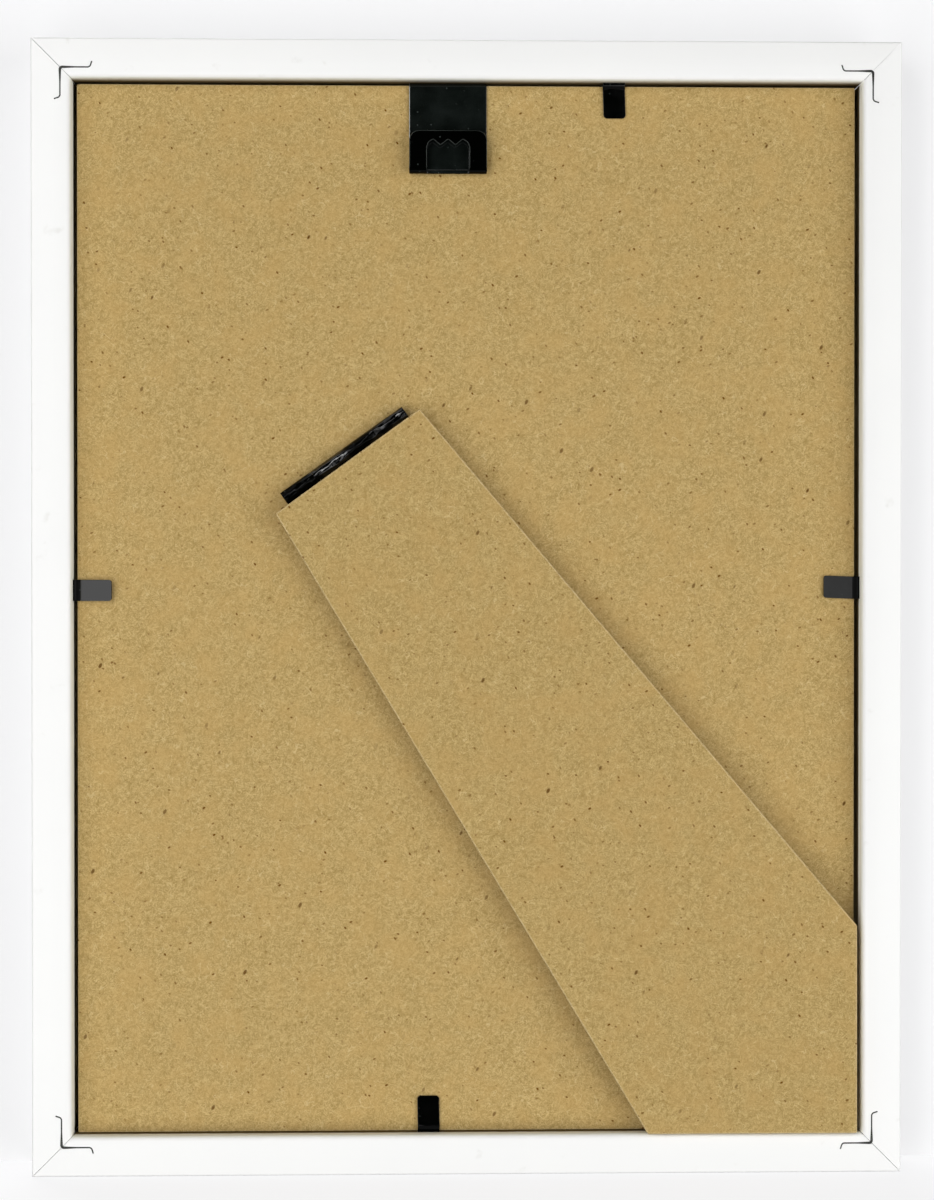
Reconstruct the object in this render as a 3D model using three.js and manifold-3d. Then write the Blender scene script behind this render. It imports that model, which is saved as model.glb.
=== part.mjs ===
// Picture frame for an 18 by 24 cm picture, with a fold-out strut on its back.
// Millimetres, +Z up. The picture faces -Y, and the strut swings out towards +Y.
// The origin is the middle of the bottom rail's underside, halfway through its depth.
// Left and right are as seen from the front: left is -X.

import * as THREE from 'three';
import { mergeVertices } from 'three/addons/utils/BufferGeometryUtils.js';
import Module from 'manifold-3d';

const wasm = await Module();
wasm.setup();

// Moulding
const RABBET_WIDTH = 182.6; // recess that takes the pane and the back, side to side
const RABBET_HEIGHT = 243.6; // the same recess, bottom to top
const RAIL_BACK_WIDTH = 9.2; // back of a rail, from its outer side to the recess
const LIP_WIDTH = 5.5; // lip of the face that holds the pane in
const LIP_DEPTH = 6.5; // thickness of that lip
const MITRE_GAP = 0.2; // between the two cut faces of a corner
const FACE_ARRIS = 1.0; // rounding of the face's outer edge
const SIGHT_ARRIS = 1.2; // rounding of the edge round the picture
const BACK_ARRIS = 0.6; // rounding of the back's outer edge
const RECESS_ARRIS = 0.9; // rounding of the back's inner edge
const BACK_FALL = 0.25; // how far the back falls off from its land to the outer edge
const RECESS_FALL = 0.3; // how far it falls off from its land to the recess
const LAND_FROM_EDGE = 4.2; // from the outer side to the flat land along the back
const LAND_WIDTH = 2.2; // width of that land

// Corner nails, driven into the back across each mitre
const NAIL_THICKNESS = 0.5;
const NAIL_LENGTH = 10.0; // how deep a nail goes
const NAIL_SINK = 0.1; // how far it lies under the land
const NAIL_LEG = 6.6; // from the bend at the mitre to the curl at a leg's end
const NAIL_CURL_RUN = 0.6; // curl at a leg's end, along the rail
const NAIL_CURL_RISE = 1.3; // the same curl, towards the outer side
const NAIL_FROM_RECESS = 2.4; // from the recess to the middle of a leg
const NAIL_CLEARANCE = 0.1; // between a nail and its kerf

// Pane, sheet and back, from the face to the back
const STACK_GAP = 0.2; // between one layer and the next
const SEAT_GAP = 0.3; // between the layers and the bottom rail that they stand on
const PANE_THICKNESS = 2.0;
const PANE_PLAY = 0.6; // between the pane and the recess
const SHEET_THICKNESS = 0.4;
const SHEET_SIDE_PLAY = 1.3;
const SHEET_TOP_PLAY = 3.3;
const BOARD_THICKNESS = 2.5;
const BOARD_SIDE_PLAY = 1.0;
const BACK_RECESS = 5.2; // from the board's back to the moulding's back

// Bending tabs that hold the back in
const TAB_WIDTH = 5.3;
const TAB_THICKNESS = 0.5;
const TAB_EMBED = 6.0; // part of a tab that sits in its rail
const TAB_POINT = 1.6; // taper of the end that is driven in
const TAB_TIP_RADIUS = 1.3;
const TAB_BEND_GAP = 0.3; // between the buried part and the finger that bends
const TAB_LIFT = 0.7; // how much higher a finger's root lies than its tip
const TAB_CLEARANCE = 0.2; // between a tab and its slot
const TAB_REST_GAP = 0.3; // between a finger's tip and the board
const TOP_TAB_X = -34.1;
const TOP_TAB_REACH = 8.1; // from the rail to the tip
const BOTTOM_TAB_X = 9.1;
const BOTTOM_TAB_REACH = 8.1;
const RIGHT_TAB_Z = 135.1;
const RIGHT_TAB_REACH = 9.3;
const LEFT_TAB_Z = 135.7;
const LEFT_TAB_REACH = 8.3;

// Clip-on hanger with a toothed window
const HANGER_X = 4.6;
const HANGER_WIDTH = 18.0;
const HANGER_THICKNESS = 0.6;
const HANGER_DROP = 20.3; // from the board's top edge to the bottom of the fold
const HANGER_INNER_LEG = 12.0; // leg in front of the board
const HANGER_LIP = 9.9; // lip that is folded up again
const HANGER_NAIL_ROOM = 2.0; // between the strip and its lip
const LIP_CORNER = 2.3;
const WINDOW_WIDTH = 9.8;
const WINDOW_TOP_MARGIN = 2.1; // from the lip's top to the notches
const WINDOW_SHOULDER = 0.7; // how much lower the window's sides end than its notches
const TOOTH_PITCH = 3.5;
const TOOTH_DEPTH = 1.2;

// Hinge: two leaves that lie on each other, with curled knuckles on one pin
const HINGE_X = 28.5; // middle of the pin
const HINGE_Z = 166.3;
const HINGE_TILT = THREE.MathUtils.degToRad(35.6); // slope of the pin across the back
const PIN_DIAMETER = 1.2;
const KNUCKLE_CLEARANCE = 0.2; // between the pin and a knuckle
const LEAF_THICKNESS = 0.6;
const LEAF_GAP = 0.3; // between a leaf and the board that it is pressed on to
const LEAF_LENGTH = 15.0; // from the pin to a leaf's far edge
const BARREL_LENGTH = 34.5;
const KNUCKLE_COUNT = 4;
const KNUCKLE_GAP = 0.3;
const CURL_OPENING = THREE.MathUtils.degToRad(26); // slit that a curl leaves open
const PIN_SETBACK = 0.3; // how far the pin's ends lie inside the barrel
const PRONG_WIDTH = 1.8;
const PRONG_LENGTH = 1.9; // from the leaf into the board
const PRONG_POINT = 0.9; // tapered part of a prong
const PRONG_SPREAD = 22.0; // between the two prongs of a leaf
const PRONG_CLEARANCE = 0.2;

// Strut
const STRUT_THICKNESS = 2.5;
const STRUT_HEAD = 40.9; // edge along the hinge
const STRUT_FOOT = 48.3; // each of the two edges that stand on a table
const HEAD_CLEARANCE = 0.3; // between the barrel and the head's edge

// Whole frame
const OUTER_WIDTH = RABBET_WIDTH + 2 * RAIL_BACK_WIDTH;
const OUTER_HEIGHT = RABBET_HEIGHT + 2 * RAIL_BACK_WIDTH;
const PANE_FROM_SEAT = STACK_GAP;
const SHEET_FROM_SEAT = PANE_FROM_SEAT + PANE_THICKNESS + STACK_GAP;
const INNER_LEG_FROM_SEAT = SHEET_FROM_SEAT + SHEET_THICKNESS + STACK_GAP;
const BOARD_FROM_SEAT = INNER_LEG_FROM_SEAT + HANGER_THICKNESS + STACK_GAP;
const DEPTH = LIP_DEPTH + BOARD_FROM_SEAT + BOARD_THICKNESS + BACK_RECESS;
const FACE_Y = -DEPTH / 2;
const BACK_Y = DEPTH / 2;
const SEAT_Y = FACE_Y + LIP_DEPTH;
const BOARD_BACK_Y = BACK_Y - BACK_RECESS;
const BOARD_WIDTH = RABBET_WIDTH - 2 * BOARD_SIDE_PLAY;
const FLOOR_Z = RAIL_BACK_WIDTH + SEAT_GAP; // lower edge of pane, sheet and board
const BOARD_TOP_Z = RAIL_BACK_WIDTH + RABBET_HEIGHT - HANGER_THICKNESS - 2 * STACK_GAP;
const BOARD_HEIGHT = BOARD_TOP_Z - FLOOR_Z;

// Finishes
const paint = (color, roughness, metalness) => new THREE.MeshStandardMaterial({ color, roughness, metalness });
const finishes = {
  whiteMoulding: () => paint('#f4f4f2', 0.5, 0),
  nailSteel: () => paint('#5b5d5c', 0.4, 1),
  glass: () => paint('#dfe9e6', 0.05, 0),
  paper: () => paint('#f3f1ea', 0.9, 0),
  fibreboard: () => paint('#b89a63', 0.8, 0),
  blackEnamel: () => paint('#101011', 0.35, 0),
};

const frame = new THREE.Group();

function addPiece(parent, name, geometry, finish) {
  const mesh = new THREE.Mesh(geometry, finish());
  mesh.name = name;
  parent.add(mesh);
  return mesh;
}

// Solids and cuts
function solid(geometry) {
  const bare = geometry.clone();
  bare.deleteAttribute('normal');
  bare.deleteAttribute('uv');
  const merged = mergeVertices(bare, 1e-4);
  return new wasm.Manifold(new wasm.Mesh({
    numProp: 3,
    vertProperties: new Float32Array(merged.attributes.position.array),
    triVerts: new Uint32Array(merged.index.array),
  }));
}

function surface(body) {
  const mesh = body.getMesh();
  const geometry = new THREE.BufferGeometry();
  geometry.setAttribute('position', new THREE.BufferAttribute(mesh.vertProperties, 3));
  geometry.setIndex(new THREE.BufferAttribute(mesh.triVerts, 1));
  geometry.computeVertexNormals();
  return geometry;
}

function cut(geometry, cutters) {
  const body = cutters.reduce((rest, cutter) => rest.subtract(solid(cutter)), solid(geometry));
  return surface(body);
}

function join(geometries) {
  const bodies = geometries.map(solid);
  return surface(bodies.reduce((whole, body) => whole.add(body)));
}

// An outline of (y, z) points drawn along X, from x = 0
const AXIS_X = new THREE.Vector3(1, 0, 0);
const AXIS_Y = new THREE.Vector3(0, 1, 0);
const AXIS_Z = new THREE.Vector3(0, 0, 1);
const ARC_STEPS = 5;

function extrudeAlongX(outline, length) {
  const geometry = new THREE.ExtrudeGeometry(outline, {
    depth: length, bevelEnabled: false, curveSegments: ARC_STEPS,
  });
  return geometry.applyMatrix4(new THREE.Matrix4().makeBasis(AXIS_Y, AXIS_Z, AXIS_X));
}

// An outline of (x, z) points made a plate that lies between two depths
function plate(outline, fromY, toY) {
  const geometry = new THREE.ExtrudeGeometry(outline, {
    depth: toY - fromY, bevelEnabled: false, curveSegments: ARC_STEPS,
  });
  const backwards = AXIS_Y.clone().negate();
  geometry.applyMatrix4(new THREE.Matrix4().makeBasis(AXIS_X, AXIS_Z, backwards));
  return geometry.translate(0, toY, 0);
}

function rectangle(x0, z0, x1, z1) {
  return new THREE.Shape([
    new THREE.Vector2(x0, z0), new THREE.Vector2(x1, z0),
    new THREE.Vector2(x1, z1), new THREE.Vector2(x0, z1),
  ]);
}

// Outline of a bent strip: its middle line, set off to both sides with mitred bends
function stripOutline(line, halfWidth) {
  const side = (sign) => line.map((point, i) => {
    const before = point.clone().sub(line[Math.max(i - 1, 0)]).normalize();
    const after = line[Math.min(i + 1, line.length - 1)].clone().sub(point).normalize();
    const inward = i === 0 ? after : before;
    const outward = i === line.length - 1 ? before : after;
    const normalIn = new THREE.Vector2(-inward.y, inward.x);
    const normalOut = new THREE.Vector2(-outward.y, outward.x);
    const bisector = normalIn.clone().add(normalOut).normalize();
    return point.clone().addScaledVector(bisector, sign * halfWidth / bisector.dot(normalIn));
  });
  return new THREE.Shape([...side(1), ...side(-1).reverse()]);
}

// Moulding: one section, mitred at both ends
function mouldingSection() {
  const backEdge = BACK_Y - BACK_FALL - BACK_ARRIS;
  const recessEdge = BACK_Y - RECESS_FALL - RECESS_ARRIS;
  const lipEnd = RAIL_BACK_WIDTH + LIP_WIDTH;
  const section = new THREE.Shape();
  section.moveTo(FACE_Y + FACE_ARRIS, 0);
  section.lineTo(backEdge, 0);
  section.absarc(backEdge, BACK_ARRIS, BACK_ARRIS, -Math.PI / 2, 0);
  section.lineTo(BACK_Y, LAND_FROM_EDGE);
  section.lineTo(BACK_Y, LAND_FROM_EDGE + LAND_WIDTH);
  section.absarc(recessEdge, RAIL_BACK_WIDTH - RECESS_ARRIS, RECESS_ARRIS, 0, Math.PI / 2);
  section.lineTo(SEAT_Y, RAIL_BACK_WIDTH);
  section.lineTo(SEAT_Y, lipEnd);
  section.absarc(FACE_Y + SIGHT_ARRIS, lipEnd - SIGHT_ARRIS, SIGHT_ARRIS, Math.PI / 2, Math.PI);
  section.absarc(FACE_Y + FACE_ARRIS, FACE_ARRIS, FACE_ARRIS, Math.PI, 1.5 * Math.PI);
  return section;
}

function mitredRail(length) {
  const geometry = extrudeAlongX(mouldingSection(), 1);
  const position = geometry.attributes.position;
  const trim = MITRE_GAP / Math.SQRT2;
  for (let i = 0; i < position.count; i += 1) {
    const half = length / 2 - trim - position.getZ(i);
    position.setX(i, position.getX(i) > 0.5 ? half : -half);
  }
  return geometry;
}

// Corner nail: a thin strip with a right-angled bend on the mitre and curled ends
const NAIL_FROM_EDGE = RAIL_BACK_WIDTH - NAIL_FROM_RECESS;

function nailLine(alongSign) {
  const legEnd = NAIL_FROM_EDGE + NAIL_LEG;
  const curlEnd = legEnd + NAIL_CURL_RUN;
  const curlSide = NAIL_FROM_EDGE - NAIL_CURL_RISE;
  return [
    [curlEnd, curlSide], [legEnd, NAIL_FROM_EDGE], [NAIL_FROM_EDGE, NAIL_FROM_EDGE],
    [NAIL_FROM_EDGE, legEnd], [curlSide, curlEnd],
  ].map(([along, inward]) => new THREE.Vector2(alongSign * along, inward));
}

const NAIL_TOP_Y = BACK_Y - NAIL_SINK;
const NAIL_END_Y = NAIL_TOP_Y - NAIL_LENGTH;

function cornerNail() {
  return plate(stripOutline(nailLine(1), NAIL_THICKNESS / 2), NAIL_END_Y, NAIL_TOP_Y);
}

function nailKerf(end, length) {
  const outline = stripOutline(nailLine(-end), NAIL_THICKNESS / 2 + NAIL_CLEARANCE);
  const kerf = plate(outline, NAIL_END_Y - NAIL_CLEARANCE, BACK_Y + NAIL_CLEARANCE);
  return kerf.translate(end * length / 2, 0, 0);
}

// Bending tab: a buried part with a tapered end, and a finger with a rounded tip
const TAB_TILT = (reach) => Math.asin(TAB_LIFT / (reach - TAB_BEND_GAP));
const TAB_TOP_Y = BOARD_BACK_Y + TAB_REST_GAP + TAB_LIFT + TAB_THICKNESS;

function buriedTabOutline(grow) {
  const half = TAB_WIDTH / 2 + grow;
  const end = RAIL_BACK_WIDTH - TAB_EMBED - grow;
  const mouth = RAIL_BACK_WIDTH + grow;
  return new THREE.Shape([
    new THREE.Vector2(half, mouth), new THREE.Vector2(-half, mouth),
    new THREE.Vector2(-half, end + TAB_POINT), new THREE.Vector2(-half + TAB_POINT, end),
    new THREE.Vector2(half - TAB_POINT, end), new THREE.Vector2(half, end + TAB_POINT),
  ]);
}

function tabFingerOutline(reach) {
  const half = TAB_WIDTH / 2;
  const tip = reach - TAB_BEND_GAP;
  const finger = new THREE.Shape();
  finger.moveTo(-half, 0);
  finger.lineTo(half, 0);
  finger.absarc(half - TAB_TIP_RADIUS, tip - TAB_TIP_RADIUS, TAB_TIP_RADIUS, 0, Math.PI / 2);
  finger.absarc(TAB_TIP_RADIUS - half, tip - TAB_TIP_RADIUS, TAB_TIP_RADIUS, Math.PI / 2, Math.PI);
  return finger;
}

// Four sides of the frame. In a side's own group, x runs along the rail and z points inwards.
const sides = [
  { name: 'bottom', length: OUTER_WIDTH, at: [0, 0, 0], turn: 0,
    tabAlong: BOTTOM_TAB_X, tabReach: BOTTOM_TAB_REACH },
  { name: 'right', length: OUTER_HEIGHT, at: [OUTER_WIDTH / 2, 0, OUTER_HEIGHT / 2], turn: -Math.PI / 2,
    tabAlong: RIGHT_TAB_Z - OUTER_HEIGHT / 2, tabReach: RIGHT_TAB_REACH },
  { name: 'top', length: OUTER_WIDTH, at: [0, 0, OUTER_HEIGHT], turn: Math.PI,
    tabAlong: -TOP_TAB_X, tabReach: TOP_TAB_REACH },
  { name: 'left', length: OUTER_HEIGHT, at: [-OUTER_WIDTH / 2, 0, OUTER_HEIGHT / 2], turn: Math.PI / 2,
    tabAlong: OUTER_HEIGHT / 2 - LEFT_TAB_Z, tabReach: LEFT_TAB_REACH },
];

for (const side of sides) {
  const group = new THREE.Group();
  group.position.set(...side.at);
  group.rotation.y = side.turn;
  frame.add(group);

  const slot = plate(
    buriedTabOutline(TAB_CLEARANCE),
    TAB_TOP_Y - TAB_THICKNESS - TAB_CLEARANCE,
    TAB_TOP_Y + TAB_CLEARANCE,
  ).translate(side.tabAlong, 0, 0);
  const kerfs = [-1, 1].map((end) => nailKerf(end, side.length));
  addPiece(group, `rail_${side.name}`, cut(mitredRail(side.length), [slot, ...kerfs]), finishes.whiteMoulding);

  const buried = plate(buriedTabOutline(0), TAB_TOP_Y - TAB_THICKNESS, TAB_TOP_Y);
  addPiece(group, `tab_root_${side.name}`, buried, finishes.blackEnamel).position.x = side.tabAlong;

  const finger = plate(tabFingerOutline(side.tabReach), -TAB_THICKNESS, 0);
  const fingerPiece = addPiece(group, `tab_finger_${side.name}`, finger, finishes.blackEnamel);
  fingerPiece.position.set(side.tabAlong, TAB_TOP_Y, RAIL_BACK_WIDTH + TAB_BEND_GAP);
  fingerPiece.rotation.x = TAB_TILT(side.tabReach);
}

// Four corners. In a corner's own group, x and z run from the outer corner along its two rails.
const corners = [
  { name: 'bottom_left', at: [-OUTER_WIDTH / 2, 0, 0], turn: 0 },
  { name: 'bottom_right', at: [OUTER_WIDTH / 2, 0, 0], turn: -Math.PI / 2 },
  { name: 'top_right', at: [OUTER_WIDTH / 2, 0, OUTER_HEIGHT], turn: Math.PI },
  { name: 'top_left', at: [-OUTER_WIDTH / 2, 0, OUTER_HEIGHT], turn: Math.PI / 2 },
];

for (const corner of corners) {
  const group = new THREE.Group();
  group.position.set(...corner.at);
  group.rotation.y = corner.turn;
  frame.add(group);
  addPiece(group, `corner_nail_${corner.name}`, cornerNail(), finishes.nailSteel);
}

// Pane and sheet, standing on the bottom rail against the lip
function layer(halfWidth, topZ, fromSeat, thickness) {
  const outline = rectangle(-halfWidth, FLOOR_Z, halfWidth, topZ);
  return plate(outline, SEAT_Y + fromSeat, SEAT_Y + fromSeat + thickness);
}

const RABBET_TOP_Z = RAIL_BACK_WIDTH + RABBET_HEIGHT;
const pane = layer(RABBET_WIDTH / 2 - PANE_PLAY, RABBET_TOP_Z - PANE_PLAY, PANE_FROM_SEAT, PANE_THICKNESS);
addPiece(frame, 'glass_pane', pane, finishes.glass);

const sheet = layer(
  RABBET_WIDTH / 2 - SHEET_SIDE_PLAY, RABBET_TOP_Z - SHEET_TOP_PLAY, SHEET_FROM_SEAT, SHEET_THICKNESS,
);
addPiece(frame, 'insert_sheet', sheet, finishes.paper);

// Hinge. In its own group, x runs along the pin, y points out of the back and z away from the foot.
const BARREL_RADIUS = PIN_DIAMETER / 2 + KNUCKLE_CLEARANCE + LEAF_THICKNESS;
const BORE_RADIUS = BARREL_RADIUS - LEAF_THICKNESS;
const LEAF_START = BARREL_RADIUS + HEAD_CLEARANCE;
const HINGE_Y = BOARD_BACK_Y + LEAF_GAP + BARREL_RADIUS;

const hinge = new THREE.Group();
hinge.position.set(HINGE_X, HINGE_Y, HINGE_Z);
hinge.rotation.y = HINGE_TILT;
frame.add(hinge);
hinge.updateMatrixWorld(true);

// A section of (distance from the pin towards the foot, height) points, drawn along the pin
function alongPin(section, fromX, toX) {
  const geometry = new THREE.ExtrudeGeometry(section, {
    depth: toX - fromX, bevelEnabled: false, curveSegments: 2 * ARC_STEPS,
  });
  return geometry.rotateY(Math.PI / 2).translate(fromX, 0, 0);
}

// Curl of the leaf on the board: it runs under the pin and over it, back to its own flat part
function boardCurl() {
  const curl = new THREE.Shape();
  curl.moveTo(LEAF_START + LEAF_THICKNESS, -BARREL_RADIUS);
  curl.lineTo(0, -BARREL_RADIUS);
  curl.absarc(0, 0, BARREL_RADIUS, 1.5 * Math.PI, -CURL_OPENING, true);
  curl.absarc(0, 0, BORE_RADIUS, -CURL_OPENING, 1.5 * Math.PI, false);
  curl.lineTo(LEAF_START + LEAF_THICKNESS, -BORE_RADIUS);
  return curl;
}

// Curl of the strut's leaf: its flat part points at the pin, and the curl goes round over the top
function strutCurl() {
  const half = LEAF_THICKNESS / 2;
  const outerAngle = Math.asin(half / BARREL_RADIUS);
  const boreAngle = Math.asin(half / BORE_RADIUS);
  const end = 2 * Math.PI - boreAngle - CURL_OPENING;
  const curl = new THREE.Shape();
  curl.moveTo(LEAF_START + LEAF_THICKNESS, half);
  curl.absarc(0, 0, BARREL_RADIUS, outerAngle, end, false);
  curl.absarc(0, 0, BORE_RADIUS, end, -boreAngle, true);
  curl.lineTo(LEAF_START + LEAF_THICKNESS, -half);
  return curl;
}

function prongOutline(sign, grow) {
  const half = PRONG_WIDTH / 2 + grow;
  const end = PRONG_LENGTH + grow;
  return new THREE.Shape([
    [-half, 0], [half, 0], [half, sign * (end - PRONG_POINT)], [0, sign * end],
    [-half, sign * (end - PRONG_POINT)],
  ].map(([along, height]) => new THREE.Vector2(along, height)));
}

// Prongs at a leaf's far edge, bent into the board behind it: sign says to which side
function prongs(sign, startY, grow) {
  return [-1, 1].map((end) => {
    const prong = new THREE.ExtrudeGeometry(prongOutline(sign, grow), {
      depth: LEAF_THICKNESS + 2 * grow, bevelEnabled: false,
    });
    return prong.translate(end * PRONG_SPREAD / 2, startY, -LEAF_LENGTH - grow);
  });
}

function hingeLeaf(curl, firstKnuckle, middleY, prongSign) {
  const pitch = (BARREL_LENGTH + KNUCKLE_GAP) / KNUCKLE_COUNT;
  const knuckles = [];
  for (let i = firstKnuckle; i < KNUCKLE_COUNT; i += 2) {
    const fromX = -BARREL_LENGTH / 2 + i * pitch;
    knuckles.push(alongPin(curl, fromX, fromX + pitch - KNUCKLE_GAP));
  }
  const half = LEAF_THICKNESS / 2;
  const flat = plate(
    rectangle(-BARREL_LENGTH / 2, -LEAF_LENGTH, BARREL_LENGTH / 2, -LEAF_START),
    middleY - half, middleY + half,
  );
  return join([flat, ...knuckles, ...prongs(prongSign, middleY, 0)]);
}

const BOARD_LEAF_Y = LEAF_THICKNESS / 2 - BARREL_RADIUS;
addPiece(hinge, 'hinge_board_leaf', hingeLeaf(boardCurl(), 0, BOARD_LEAF_Y, -1), finishes.blackEnamel);
addPiece(hinge, 'hinge_strut_leaf', hingeLeaf(strutCurl(), 1, 0, 1), finishes.blackEnamel);

const PIN_SIDES = 16;
const pin = new THREE.CylinderGeometry(
  PIN_DIAMETER / 2, PIN_DIAMETER / 2, BARREL_LENGTH - 2 * PIN_SETBACK, PIN_SIDES,
);
addPiece(hinge, 'hinge_pin', pin, finishes.nailSteel).rotation.z = Math.PI / 2;

// Strut: the head lies along the hinge, and the foot's two edges lie over the board's corner
const footCorner = new THREE.Vector3(-BOARD_WIDTH / 2, HINGE_Y, FLOOR_Z);
const footPoints = [
  footCorner.clone().addScaledVector(AXIS_X, STRUT_FOOT),
  footCorner,
  footCorner.clone().addScaledVector(AXIS_Z, STRUT_FOOT),
].map((point) => hinge.worldToLocal(point.clone()));
const strutOutline = new THREE.Shape([
  new THREE.Vector2(-STRUT_HEAD / 2, -LEAF_START),
  new THREE.Vector2(STRUT_HEAD / 2, -LEAF_START),
  ...footPoints.map((point) => new THREE.Vector2(point.x, point.z)),
]);
const STRUT_Y = LEAF_THICKNESS / 2 + LEAF_GAP;
const strut = cut(plate(strutOutline, STRUT_Y, STRUT_Y + STRUT_THICKNESS), prongs(1, 0, PRONG_CLEARANCE));
addPiece(hinge, 'strut', strut, finishes.fibreboard);

// Backing board, with the pockets that the hinge's prongs press into it
const boardPockets = prongs(-1, BOARD_LEAF_Y, PRONG_CLEARANCE)
  .map((pocket) => pocket.applyMatrix4(hinge.matrixWorld));
const board = cut(
  plate(
    rectangle(-BOARD_WIDTH / 2, FLOOR_Z, BOARD_WIDTH / 2, FLOOR_Z + BOARD_HEIGHT),
    BOARD_BACK_Y - BOARD_THICKNESS, BOARD_BACK_Y,
  ),
  boardPockets,
);
addPiece(frame, 'backing_board', board, finishes.fibreboard);

// Hanger: one strip, clipped over the board's top edge and folded up again below
const FOLD_RADIUS = (HANGER_NAIL_ROOM + HANGER_THICKNESS) / 2; // middle of the strip in the fold
const FOLD_STEPS = 12;
const HANGER_HALF = HANGER_THICKNESS / 2;
const HANGER_BACK_Y = BOARD_BACK_Y + STACK_GAP + HANGER_HALF;
const HANGER_LIP_Y = HANGER_BACK_Y + 2 * FOLD_RADIUS;
const HANGER_TOP_Z = BOARD_TOP_Z + STACK_GAP + HANGER_HALF;
const HANGER_BOTTOM_Z = BOARD_TOP_Z - HANGER_DROP;
const FOLD_Z = HANGER_BOTTOM_Z + FOLD_RADIUS + HANGER_HALF;
const HANGER_LIP_TOP_Z = HANGER_BOTTOM_Z + HANGER_LIP;

function hangerLine() {
  const innerY = SEAT_Y + INNER_LEG_FROM_SEAT + HANGER_HALF;
  const line = [
    [innerY, BOARD_TOP_Z - HANGER_INNER_LEG], [innerY, HANGER_TOP_Z], [HANGER_BACK_Y, HANGER_TOP_Z],
  ];
  for (let i = 0; i <= FOLD_STEPS; i += 1) {
    const angle = Math.PI * (1 + i / FOLD_STEPS);
    const y = HANGER_BACK_Y + FOLD_RADIUS * (1 + Math.cos(angle));
    line.push([y, FOLD_Z + FOLD_RADIUS * Math.sin(angle)]);
  }
  line.push([HANGER_LIP_Y, HANGER_LIP_TOP_Z]);
  return line.map(([y, z]) => new THREE.Vector2(y, z));
}

// Window in the lip: notches for a nail between two teeth
function windowOutline() {
  const half = WINDOW_WIDTH / 2;
  const top = HANGER_LIP_TOP_Z - WINDOW_TOP_MARGIN;
  const bottom = HANGER_BOTTOM_Z + HANGER_THICKNESS;
  const teeth = [1, 0.5, 0, -0.5, -1].map((turn) => [
    turn * TOOTH_PITCH, Math.abs(turn) === 0.5 ? top - TOOTH_DEPTH : top,
  ]);
  return new THREE.Shape([
    [-half, bottom], [half, bottom], [half, top - WINDOW_SHOULDER], ...teeth, [-half, top - WINDOW_SHOULDER],
  ].map(([x, z]) => new THREE.Vector2(x, z)));
}

// What a rounded top corner of the lip leaves out
function lipCorner(side) {
  const half = HANGER_WIDTH / 2;
  const over = HANGER_THICKNESS;
  const inset = half - LIP_CORNER;
  const corner = new THREE.Shape();
  corner.moveTo(side * half, HANGER_LIP_TOP_Z - LIP_CORNER);
  corner.lineTo(side * (half + over), HANGER_LIP_TOP_Z - LIP_CORNER);
  corner.lineTo(side * (half + over), HANGER_LIP_TOP_Z + over);
  corner.lineTo(side * inset, HANGER_LIP_TOP_Z + over);
  corner.lineTo(side * inset, HANGER_LIP_TOP_Z);
  const fromAngle = Math.PI / 2;
  const toAngle = side > 0 ? 0 : Math.PI;
  corner.absarc(side * inset, HANGER_LIP_TOP_Z - LIP_CORNER, LIP_CORNER, fromAngle, toAngle, side > 0);
  return corner;
}

const lipFrom = HANGER_BACK_Y + FOLD_RADIUS;
const lipTo = HANGER_LIP_Y + HANGER_THICKNESS;
const hangerStrip = extrudeAlongX(stripOutline(hangerLine(), HANGER_HALF), HANGER_WIDTH);
hangerStrip.translate(-HANGER_WIDTH / 2, 0, 0);
const hanger = cut(
  hangerStrip,
  [windowOutline(), lipCorner(-1), lipCorner(1)].map((outline) => plate(outline, lipFrom, lipTo)),
);
addPiece(frame, 'hanger', hanger, finishes.blackEnamel).position.x = HANGER_X;

export default frame;
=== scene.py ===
# %% [markdown]
# # The back of a white picture frame
# A picture frame is a stack. Four mitred rails hold a pane, a sheet and a fibreboard back, and small steel
# parts on the back hold the stack in, hang it up or let it stand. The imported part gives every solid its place,
# so each piece below is modelled where its solid already is, and this file adds the looks.

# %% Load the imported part
import math

import bmesh
import bpy
from mathutils import Matrix, Vector


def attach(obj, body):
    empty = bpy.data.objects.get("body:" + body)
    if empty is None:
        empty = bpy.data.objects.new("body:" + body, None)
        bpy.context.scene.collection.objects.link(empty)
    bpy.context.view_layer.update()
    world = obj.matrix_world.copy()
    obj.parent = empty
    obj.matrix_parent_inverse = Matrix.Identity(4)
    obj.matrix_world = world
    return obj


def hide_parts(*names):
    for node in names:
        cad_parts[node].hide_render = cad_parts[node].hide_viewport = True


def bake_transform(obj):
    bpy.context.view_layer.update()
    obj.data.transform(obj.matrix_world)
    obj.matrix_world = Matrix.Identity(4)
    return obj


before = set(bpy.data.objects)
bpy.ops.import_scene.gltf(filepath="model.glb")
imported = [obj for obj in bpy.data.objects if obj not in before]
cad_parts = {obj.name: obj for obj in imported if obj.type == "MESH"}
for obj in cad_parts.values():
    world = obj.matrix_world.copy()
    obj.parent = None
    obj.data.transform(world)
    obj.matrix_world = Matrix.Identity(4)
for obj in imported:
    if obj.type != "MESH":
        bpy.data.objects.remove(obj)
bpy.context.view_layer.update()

# %% [markdown]
# ## Camera
# The photograph looks almost straight at the back, from about two thirds of a metre away and a little to one
# side. The place, the aim and the lens were fitted to the four outer corners of the frame, so that every piece
# falls on the same spot of the image as the real one.

# %% Set the camera
MM = 0.001  # metres in a millimetre
IMAGE_HEIGHT = 1200
FOCAL_LENGTH = 2811.7  # in pixels of an image of that height
SENSOR_HEIGHT = 36.0
CAMERA_PLACE = Vector((19.6, 657.4, 139.9)) * MM
CAMERA_AIM = Vector((0.3, 9.0, 132.9)) * MM

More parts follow.
